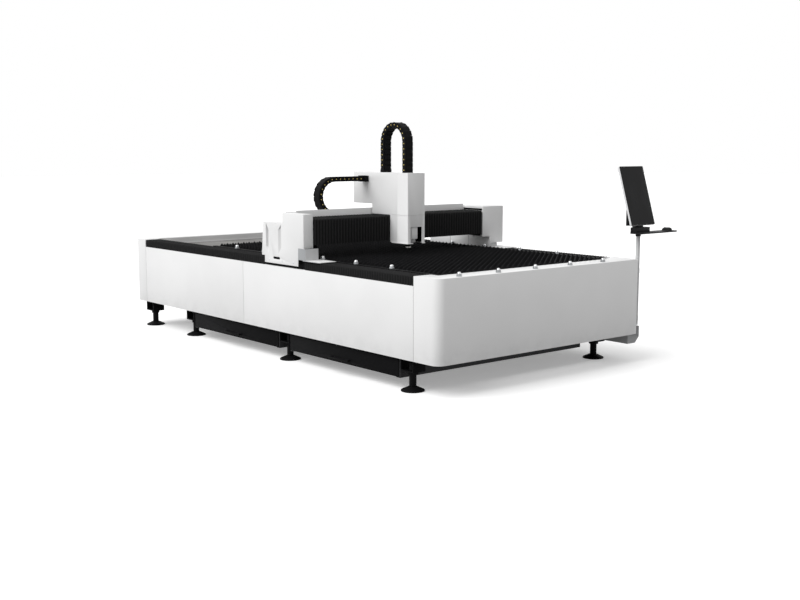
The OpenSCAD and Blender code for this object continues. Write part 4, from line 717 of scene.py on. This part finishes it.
def foldedCover(name, node, fixed, moving, fixedBody, movingBody, sideways, outline, *cloths):
    length = moving - fixed
    count = max(2, round(abs(length) / bellowsLook["pitch"]))
    depth = bellowsLook["depth"]
    cuts = sorted({0, 1, count - 1, count} | {round(s * count) for s in bellowsLook["splits"]})
    for part, (first, last) in enumerate(zip(cuts, cuts[1:])):
        rows = [(fold + f, inset) for fold in range(first, last) for f, inset in bellowsLook["fold"]] + [(last, 1)]
        bm = bmesh.new()
        grid = []
        for turn, inset in rows:
            along = fixed + length * turn / count
            grid.append([bm.verts.new(sideways(along, p)) for p in outline(inset * depth)])
        for a, b in zip(grid, grid[1:]):
            for i in range(len(a) - 1):
                bm.faces.new((a[i], a[i + 1], b[i + 1], b[i]))
        if len(cloths) > 1:  # the outer side takes its own cloth, with painted light and shade across its own folds
            bm.normal_update()
            for face in bm.faces:
                face.material_index = int(abs(face.normal.x) > abs(face.normal.z))
        piece = newPiece(f"{name}_{part}", bm, *cloths)
        solid = piece.modifiers.new("cloth", "SOLIDIFY")
        solid.thickness = bellowsLook["cloth"]
        solid.offset = -1
        bakeModifiers(piece)
        smoothByAngle(piece, 40)
        u0, u1 = easeInverse(first / count), easeInverse(last / count)
        begin, end = fixed + length * first / count, fixed + length * last / count
        rate = (end - begin) / (u1 - u0)
        middle = outline(0)[0]
        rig.blend(piece, fixedBody, movingBody, sideways(begin - u0 * rate, middle),
                 sideways(begin + (1 - u0) * rate, middle))
        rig.replaces(piece, node)
        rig.slot(piece, "bellows_cloth")


def alongBed(s, p):
    return Vector((p[0], s, p[1]))


def alongBeam(s, p):
    return Vector((s, p[0], p[1]))


def sideOutline(lo, hi, side):  # top and outer side, with a rounded outer corner and a short inner hem
    outer, inner = (lo.x, hi.x) if side < 0 else (hi.x, lo.x)
    r, hem = bellowsLook["corner"], bellowsLook["hem"]

    def at(inset):
        x, z = outer - side * inset, hi.z - inset
        arc = [(x - side * r * (1 - math.sin(a)), z - r * (1 - math.cos(a)))
               for a in (i * math.pi / 8 for i in range(5))]
        return [(inner, z - hem), (inner, z), *arc, (x, lo.z)]
    return at


def crossOutline(lo, hi):  # lower lip, front, top
    r, bottom = bellowsLook["corner"], lo.z + bellowsLook["lift"]

    def at(inset):
        y, z = lo.y + inset, hi.z - inset
        arc = [(y + r * (1 - math.sin(a)), z - r * (1 - math.cos(a)))
               for a in (math.pi / 2 - i * math.pi / 8 for i in range(5))]
        return [(lo.y + bellowsLook["lip"], bottom), (y, bottom), *arc, (hi.y, z)]
    return at


def bellowsOf(hand, side):
    cloth, depth = colours["cloth"], bellowsLook["depth"]
    lo, hi = corners(f"{hand}_front_bellows")
    outer = lo.x if side < 0 else hi.x
    topCloth = bellowsCloth(f"{hand}TopCloth", cloth, "Z", hi.z - depth, hi.z)
    sideCloth = bellowsCloth(f"{hand}SideCloth", cloth, "X", outer - side * depth, outer)
    for part in ("front", "rear"):
        node = f"{hand}_{part}_bellows"
        lo, hi = corners(node)
        fixed, moving = (lo.y, hi.y) if part == "front" else (hi.y, lo.y)
        foldedCover(f"{hand}{part.title()}Folds", node, fixed, moving, "bed", "gantry", alongBed,
                    sideOutline(lo, hi, side), topCloth, sideCloth)
    node = f"{hand}_x_bellows"
    lo, hi = corners(node)
    fixed, moving = (lo.x, hi.x) if side < 0 else (hi.x, lo.x)
    frontCloth = bellowsCloth(f"{hand}FrontCloth", cloth, "Y", lo.y + depth, lo.y)
    foldedCover(f"{hand}CrossFolds", node, fixed, moving, "gantry", "carriage", alongBeam, crossOutline(lo, hi),
                frontCloth)


bellowsOf("left", -1)
bellowsOf("right", 1)
print("bellows folded")


# drag chains: stepped links with crossbars and pin caps

chainLook = {
    "pitch": 0.045, "height": 0.041, "width": 0.085, "plate": 0.005, "gap": 0.0006, "overlap": 0.0001, "bar": 0.0175,
    "barDepth": 0.0045, "barSlope": 0.0015, "liner": 0.0015, "linerLap": 0.003, "cap": 0.0046, "capProud": 0.0012,
    "corner": 0.006, "links": {"cross": 33, "bed": 44, "head": 23},
}


def addLink(bm, place):
    c = chainLook
    p, r, half = c["pitch"], c["height"] / 2, c["width"] / 2
    outer, inner = half - c["plate"], half - c["plate"] - c["gap"]
    core = inner - c["plate"]
    webFrom, webTo = r + c["gap"], p - r - c["gap"]
    k, slope = c["corner"], c["barSlope"]
    back = [(k - r, r), (-r, r - k), (-r, k - r), (k - r, -r), (webTo, -r), (webTo, r)]
    front = arcPoints(p, r, -math.pi / 2, math.pi / 2, 11) + [(webFrom, r), (webFrom, -r)]
    web = [(webFrom, -r), (webTo, -r), (webTo, r), (webFrom, r)]
    cap = [(c["cap"] * math.cos(i * math.pi / 6), c["cap"] * math.sin(i * math.pi / 6)) for i in range(12)]
    for s in (-1, 1):
        addPlate(bm, back, s * outer, s * half, place)
        addPlate(bm, front, s * core, s * (inner + c["overlap"]), place)
        addPlate(bm, web, s * inner, s * outer, place)
        addPlate(bm, cap, s * half, s * (half + c["capProud"]), place, 1)
    for s in (-1, 1):  # a full lid outside the bend, a crossbar over a liner inside it
        reach = c["gap"] if s < 0 else p / 2 - c["bar"]
        deep = s * (r - c["barDepth"])
        lid = [(reach, deep), (p - reach, deep), (p - reach - slope, s * r), (reach + slope, s * r)]
        addPlate(bm, lid, -core + c["gap"], core - c["gap"], place)
    for v, reach in ((r - c["barDepth"] - c["gap"], c["gap"]), (c["gap"] - r + c["liner"], -c["linerLap"])):
        liner = [(reach, v - c["liner"]), (p - reach, v - c["liner"]), (p - reach, v), (reach, v)]
        addPlate(bm, liner, -core + c["gap"], core - c["gap"], place)


def chainPath(s, run, r):
    if s < run:
        return Vector((s, 0))
    if s < run + math.pi * r:
        a = (s - run) / r
        return Vector((run + r * math.sin(a), r - r * math.cos(a)))
    return Vector((2 * run + math.pi * r - s, 2 * r))


def dragChain(name, node, count, fixedBody, movingBody, origin, out, up, across, run, r):
    pitch = chainLook["pitch"]
    runs = {"Fixed": [], "Bend": [], "Moving": []}
    for i in range(count):
        a, b = chainPath(i * pitch, run, r), chainPath((i + 1) * pitch, run, r)
        middle = (i + 0.5) * pitch
        key = "Fixed" if middle < run else "Bend" if middle < run + math.pi * r else "Moving"
        runs[key].append((a, b))
    basis = Matrix((out, up, across)).transposed().to_4x4()
    basis.translation = origin
    end = 2 * run + math.pi * r - count * pitch
    toRow = lambda u, v: basis @ Vector((u, v, 0))
    for key, links in runs.items():
        bm = bmesh.new()
        for a, b in links:
            turn = Matrix.Rotation(math.atan2(b.y - a.y, b.x - a.x), 4, "Z")
            addLink(bm, basis @ Matrix.Translation((a.x, a.y, 0)) @ turn)
        piece = newPiece(name + key, bm, paint["chain"], paint["pin"])
        smoothByAngle(piece, 35)
        if key == "Fixed":
            start, stop = toRow(0, 0), toRow(2 * run, 0)
        elif key == "Moving":
            start, stop = toRow(2 * run - end, 2 * r), toRow(end, 2 * r)
        else:  # far to both sides, so that the whole bend moves at half speed
            start, stop = toRow(run, r) - across * 100, toRow(run, r) + across * 100
        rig.blend(piece, fixedBody, movingBody, start, stop)
        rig.replaces(piece, node)
        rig.slot(piece, "chain_plastic")


def layChains():
    half, pitch, links = chainLook["height"] / 2, chainLook["pitch"], chainLook["links"]
    lo, hi = corners("x_chain")
    r = (hi.z - lo.z) / 2 - half
    bend, root = lo.x + r + half, hi.x - half
    dragChain("crossChain", "x_chain", links["cross"], "gantry", "carriage",
              Vector((root, (lo.y + hi.y) / 2, lo.z + half)),
              Vector((-1, 0, 0)), Vector((0, 0, 1)), Vector((0, 1, 0)), root - bend, r)
    lo, hi = corners("y_chain")
    r = (hi.z - lo.z) / 2 - half
    bend, root = lo.y + r + half, hi.y - half
    dragChain("bedChain", "y_chain", links["bed"], "bed", "gantry",
              Vector(((lo.x + hi.x) / 2, root, lo.z + half)),
              Vector((0, -1, 0)), Vector((0, 0, 1)), Vector((1, 0, 0)), root - bend, r)
    lo, hi = corners("z_chain")
    r = (hi.y - lo.y) / 2 - half
    bend = hi.z - r - half
    root = 2 * bend + math.pi * r - (lo.z + half) - links["head"] * pitch
    dragChain("headChain", "z_chain", links["head"], "carriage", "head",
              Vector(((lo.x + hi.x) / 2, hi.y - half, root)),
              Vector((0, 0, 1)), Vector((0, -1, 0)), Vector((1, 0, 0)), bend - root, r)


layChains()
print("drag chains linked")


# small hardware

endLook = {"cover": 0.03, "into": 0.019, "tall": 0.0265, "wide": 0.003, "foot": 0.026, "sunk": 0.002, "edge": 0.003}


def chainEnds():  # brackets where the cross chain and the head chain are fixed
    half, e = chainLook["height"] / 2, endLook
    lo, hi = corners("x_chain")
    root, run = low("carriage_cover", 0), hi.z - half
    end = ((root - e["cover"], lo.y - e["wide"], run - e["tall"]),
           (root + e["into"], hi.y + e["wide"], run + e["tall"]))
    blockPiece("crossChainEnd", [end], e["edge"], "chain", "carriage", "chain_plastic")
    lo, hi = corners("z_chain")
    top = high("carriage_cover", 2)
    foot = ((lo.x - e["wide"], hi.y - 2 * half - e["wide"], top - e["sunk"]),
            (hi.x + e["wide"], hi.y + e["wide"], top + e["foot"]))
    blockPiece("headChainFoot", [foot], e["edge"], "chain", "carriage", "chain_plastic")


cupLook = {
    "steps": 28,
    "flange": [(0.0158, 0), (0.0208, 0), (0.0208, 0.0022), (0.0194, 0.003), (0.019, 0.0125), (0.0178, 0.0155),
               (0.0164, 0.016), (0.0158, 0.0148)],
    "seal": [(0.0148, 0.0146), (0.0167, 0.0146), (0.0165, 0.0168), (0.015, 0.0164)],
}


def ballCups():  # turned cups with a felt seal round each ball; the cups' darker steel is painted shade round the ball's base
    bm = bmesh.new()
    for lo, hi in looseBoxes("ball_cups"):
        place = Matrix.Translation(((lo.x + hi.x) / 2, (lo.y + hi.y) / 2, lo.z))
        addTurned(bm, cupLook["flange"], place, 0, cupLook["steps"], True)
        addTurned(bm, cupLook["seal"], place, 1, cupLook["steps"], True)
    piece = placed(newPiece("turnedCups", bm, paint["cup"], paint["plastic"]), "bed", "bright_steel")
    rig.replaces(piece, "ball_cups")


screwLook = {
    "head": 0.0065, "into": 0.001, "steps": 16,
    "profile": ((1, 0.2), (0.78, 0.5), (0.4, 0.56), (0.4, 0.2)),  # radius and height, in heads
    "rise": 0.025, "leftFromRear": (0.116, 0.31, 0.476), "rightFromRear": (0.116, 0.476),
}


def addScrew(bm, at, facing):  # button head with a round socket
    r = screwLook["head"]
    profile = [(r, -screwLook["into"])] + [(r * a, r * b) for a, b in screwLook["profile"]]
    turn = Vector(facing).to_track_quat("Z", "Y").to_matrix().to_4x4()
    addTurned(bm, profile, Matrix.Translation(at) @ turn, 0, screwLook["steps"])


def endCoverScrews():
    bm = bmesh.new()
    lo, hi = corners("left_end_cover")
    for back in screwLook["leftFromRear"]:
        addScrew(bm, (lo.x, hi.y - back, lo.z + screwLook["rise"]), (-1, 0, 0))
    lo, hi = corners("right_end_cover")
    for back in screwLook["rightFromRear"]:
        addScrew(bm, (hi.x, hi.y - back, lo.z + screwLook["rise"]), (1, 0, 0))
    placed(newPiece("endCoverScrews", bm, paint["railX"]), "gantry", "bright_steel")


guardLook = {"seamsFromRear": (0.291, 0.546), "sheet": 0.003, "seam": 0.005, "proud": 0.0003, "into": 0.001,
             "rise": 0.145, "edge": 0.0001}


def guardSeams():  # joints between the sheets of the guard at the right foot
    g = guardLook
    foot = looseBoxes("gantry_feet")[-1][0]
    lo, hi = corners("foot_shields")
    face, rear = foot.x - g["sheet"], hi.y
    top = low("right_end_cover", 2) + g["rise"]
    boxes = [((face - g["proud"], rear - back - g["seam"], lo.z + g["into"]), (face + g["into"], rear - back, top))
             for back in g["seamsFromRear"]]
    blockPiece("guardSeams", boxes, g["edge"], "joint", "gantry", "grey_paint")


# size of the black strip that paints the shade of the gap above the right cross bellows
coverGapLook = {"height": 0.016, "clear": 0.001, "proud": 0.002, "into": 0.001, "fromFront": 0.008, "edge": 0.0005}


def coverSeal():  # black strip of painted shade in the gap between the right end cover and the cross bellows
    lo, hi = corners("right_x_bellows")
    face, s = low("right_end_cover", 0), coverGapLook
    box = ((face - s["proud"], lo.y + s["fromFront"], hi.z + s["clear"]),
           (face + s["into"], hi.y - s["clear"], hi.z + s["clear"] + s["height"]))
    blockPiece("coverSeal", [box], s["edge"], "black", "gantry", "black_paint")


deckSealLook = {"setBack": 0.05, "fromSide": 0.02, "proud": 0.0008, "depth": 0.006, "clear": 0.0002,
                "height": 0.0158, "edge": 0.0004}


def deckSeal():  # strip that closes the slot between the deck and the rear cover
    lo, hi = corners("rear_deck")
    s = deckSealLook
    wall = low("rear_end_cover", 1) + s["setBack"]
    box = ((lo.x + s["fromSide"], wall - s["proud"], hi.z + s["clear"]),
           (hi.x - s["fromSide"], wall + s["depth"], hi.z + s["height"]))
    blockPiece("deckSeal", [box], s["edge"], "white", "bed", "white_paint")


jointLook = {"drop": 0.3565, "height": 0.0006, "proud": 0.0003, "depth": 0.0012, "fromBack": 0.004}


def headCoverJoint():  # where the upper and the lower shell of the head cover meet
    lo, hi = corners("head_cover")
    p, t, back = jointLook["proud"], jointLook["depth"], hi.y - jointLook["fromBack"]
    x0, x1, y0 = lo.x - p, hi.x + p, lo.y - p
    outline = [(x0, back), (x0, y0), (x1, y0), (x1, back), (x1 - t, back), (x1 - t, y0 + t), (x0 + t, y0 + t),
               (x0 + t, back)]
    bottom = hi.z - jointLook["drop"]
    bm = bmesh.new()
    addPlate(bm, outline, bottom, bottom + jointLook["height"], Matrix())
    placed(newPiece("headCoverJoint", bm, paint["joint"]), bodyOf["head_cover"], "white_paint")


mouseLook = {
    "size": 0.9, "crown": 0.84, "rows": 7, "steps": 28, "squareness": 0.72, "dome": 0.55, "palm": 0.16,
    "wheel": 0.009, "wheelWidth": 0.007, "wheelForward": 0.5, "wheelDrop": 0.0105, "wheelSteps": 18,
}


def mouseShell():  # low dome, higher towards the palm, with a wheel
    m = mouseLook
    lo, hi = corners("mouse")
    middle, size = (lo + hi) / 2, (hi - lo) / 2 * m["size"]
    crown, n = (hi.z - lo.z) * m["crown"], m["steps"]
    bend = lambda v: math.copysign(abs(v) ** m["squareness"], v)
    bm = bmesh.new()
    rows = []
    for i in range(m["rows"]):
        rise = i / m["rows"] * math.pi / 2
        share, height = math.cos(rise) ** m["dome"], math.sin(rise) * crown
        ring = []
        for j in range(n):
            a = j * math.tau / n
            u, v = share * bend(math.cos(a)), share * bend(math.sin(a))
            ring.append(bm.verts.new((middle.x + size.x * u, middle.y + size.y * v,
                                      lo.z + height * (1 - m["palm"] * (0.5 + 0.5 * v)))))
        rows.append(ring)
    for a, b in zip(rows, rows[1:]):
        for i in range(n):
            bm.faces.new((a[i], a[(i + 1) % n], b[(i + 1) % n], b[i]))
    bm.faces.new(rows[0])
    bm.faces.new(rows[-1])
    w, r = m["wheelWidth"] / 2, m["wheel"]
    wheel = [(r * 0.7, -w), (r, -w * 0.6), (r, w * 0.6), (r * 0.7, w)]
    hub = Vector((middle.x, middle.y + size.y * m["wheelForward"], lo.z + crown - m["wheelDrop"]))
    addTurned(bm, wheel, Matrix.Translation(hub) @ Matrix.Rotation(math.pi / 2, 4, "Y"), 1, m["wheelSteps"])
    piece = newPiece("mouseShell", bm, paint["plastic"], paint["joint"])
    placed(piece, bodyOf["mouse"], "console_plastic", 60)
    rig.replaces(piece, "mouse")


standLook = {"columnWidth": 0.06, "columnBack": 0.068, "columnDepth": 0.024, "columnRise": (0.046, 0.193),
             "armWidth": 0.034, "armRise": (0.131, 0.155), "armInto": 0.02, "edge": 0.004}


def standColumn():  # back column of the monitor stand and the arm that carries it
    lo, hi = corners("monitor_stand")
    middle, s = (lo.x + hi.x) / 2, standLook
    back = hi.y + s["columnBack"]
    column = ((middle - s["columnWidth"] / 2, back, lo.z + s["columnRise"][0]),
              (middle + s["columnWidth"] / 2, back + s["columnDepth"], lo.z + s["columnRise"][1]))
    arm = ((middle - s["armWidth"] / 2, hi.y - s["armInto"], lo.z + s["armRise"][0]),
           (middle + s["armWidth"] / 2, back + s["columnDepth"] / 2, lo.z + s["armRise"][1]))
    blockPiece("standColumn", [column, arm], s["edge"], "plastic", bodyOf["monitor_stand"], "console_plastic")


ventLook = {"count": 9, "pitch": 0.014, "length": 0.15, "height": 0.005, "rise": 0.1, "proud": 0.0003,
            "depth": 0.001}


def monitorVents():  # slots across the back of the monitor
    v = ventLook
    back = max((f for f in nodes["monitor_shell"].data.polygons if f.normal.y > 0.5), key=lambda f: f.area)
    lo, hi = corners("monitor_shell")
    out = Vector((0, back.normal.y, back.normal.z)).normalized()
    up = Vector((1, 0, 0)).cross(out)
    middle = Vector(((lo.x + hi.x) / 2, back.center.y, back.center.z))
    toHalf = ((lo.z + hi.z) / 2 - middle.z) / up.z  # along the slope to half height
    top = middle + up * (toHalf + v["rise"])
    half, r = v["length"] / 2, v["height"] / 2
    end = arcPoints(half - r, r, math.pi / 2, -math.pi / 2, 7)
    outline = end + [(-x, -y) for x, y in end]
    place = Matrix((Vector((1, 0, 0)), up, out)).transposed().to_4x4()
    bm = bmesh.new()
    for i in range(v["count"]):
        place.translation = top - up * v["pitch"] * i
        addPlate(bm, outline, -v["depth"], v["proud"], place)
    placed(newPiece("monitorVents", bm, paint["plastic"]), bodyOf["monitor_shell"], "console_plastic")


chainEnds()
ballCups()
endCoverScrews()
guardSeams()
coverSeal()
deckSeal()
headCoverJoint()
mouseShell()
standColumn()
monitorVents()
print("small hardware placed")


# floor, light and camera

studio = {
    "floor": (0.86, 0.86, 0.86), "floorGlow": 0.3, "floorSize": 60, "bounce": (0.32, 0.32, 0.32),
    "world": 0.58, "sun": 2.45, "sunFrom": (-0.68, 0.12, 0.72), "sunSize": 50,
    "eye": (-6.44475, -8.0145, 1.794), "yaw": 39.77, "pitch": 7.86, "lens": 49.39, "sensor": 36, "far": 200,
}


def studioFloor():
    bm = bmesh.new()
    bmesh.ops.create_grid(bm, x_segments=1, y_segments=1, size=studio["floorSize"])
    f = Finish("paleFloor", Roughness=0.9)
    cloud = f.noise(0.6, 2)
    f.colour(f.mix(cloud, tint(studio["floor"], 0.99), studio["floor"]))
    glow = f.add("ShaderNodeEmission", None, {"Color": (1, 1, 1), "Strength": studio["floorGlow"]})
    bright = f.add("ShaderNodeAddShader", None, {0: Signal(f, f.shader.outputs[0]), 1: glow})
    bounce = f.add("ShaderNodeBsdfDiffuse", None, {"Color": studio["bounce"]})
    mixed = f.add("ShaderNodeMixShader", None, {0: f.seen(), 1: bounce, 2: bright})
    f.feed(f.tree.nodes["Material Output"].inputs["Surface"], mixed)
    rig.stage(newPiece("studioFloor", bm, f.material))


def studioLight():
    world = bpy.data.worlds.new("softStudio")
    bpy.context.scene.world = world
    world.use_nodes = True
    world.node_tree.nodes.clear()
    sky = NodeBench(world.node_tree)
    fill = sky.add("ShaderNodeBackground", None, {"Color": (1, 1, 1), "Strength": studio["world"]})
    white = sky.add("ShaderNodeBackground", None, {"Color": (1, 1, 1), "Strength": 1.0})
    mixed = sky.add("ShaderNodeMixShader", None, {0: sky.seen(), 1: fill, 2: white})
    sky.add("ShaderNodeOutputWorld", None, {"Surface": mixed})
    lamp = bpy.data.lights.new("keySun", "SUN")
    lamp.energy = studio["sun"]
    lamp.angle = math.radians(studio["sunSize"])
    key = bpy.data.objects.new("keySun", lamp)
    key.rotation_euler = Vector(studio["sunFrom"]).to_track_quat("Z", "Y").to_euler()
    bpy.context.scene.collection.objects.link(key)


def photoCamera():
    lens = bpy.data.cameras.new("photoCamera")
    lens.lens = studio["lens"]
    lens.sensor_width = studio["sensor"]
    lens.clip_end = studio["far"]
    eye = bpy.data.objects.new("photoCamera", lens)
    eye.location = studio["eye"]
    eye.rotation_euler = (math.radians(90 - studio["pitch"]), 0, math.radians(-studio["yaw"]))
    bpy.context.scene.collection.objects.link(eye)
    bpy.context.scene.camera = eye


studioFloor()
studioLight()
photoCamera()
bpy.context.scene.view_settings.view_transform = "Standard"
print("studio set")

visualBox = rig.bounds()
with open("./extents.json", "w") as note:
    json.dump({"cad": [list(map(float, p)) for p in cadBox],
               "visual": [list(map(float, p)) for p in visualBox]}, note)
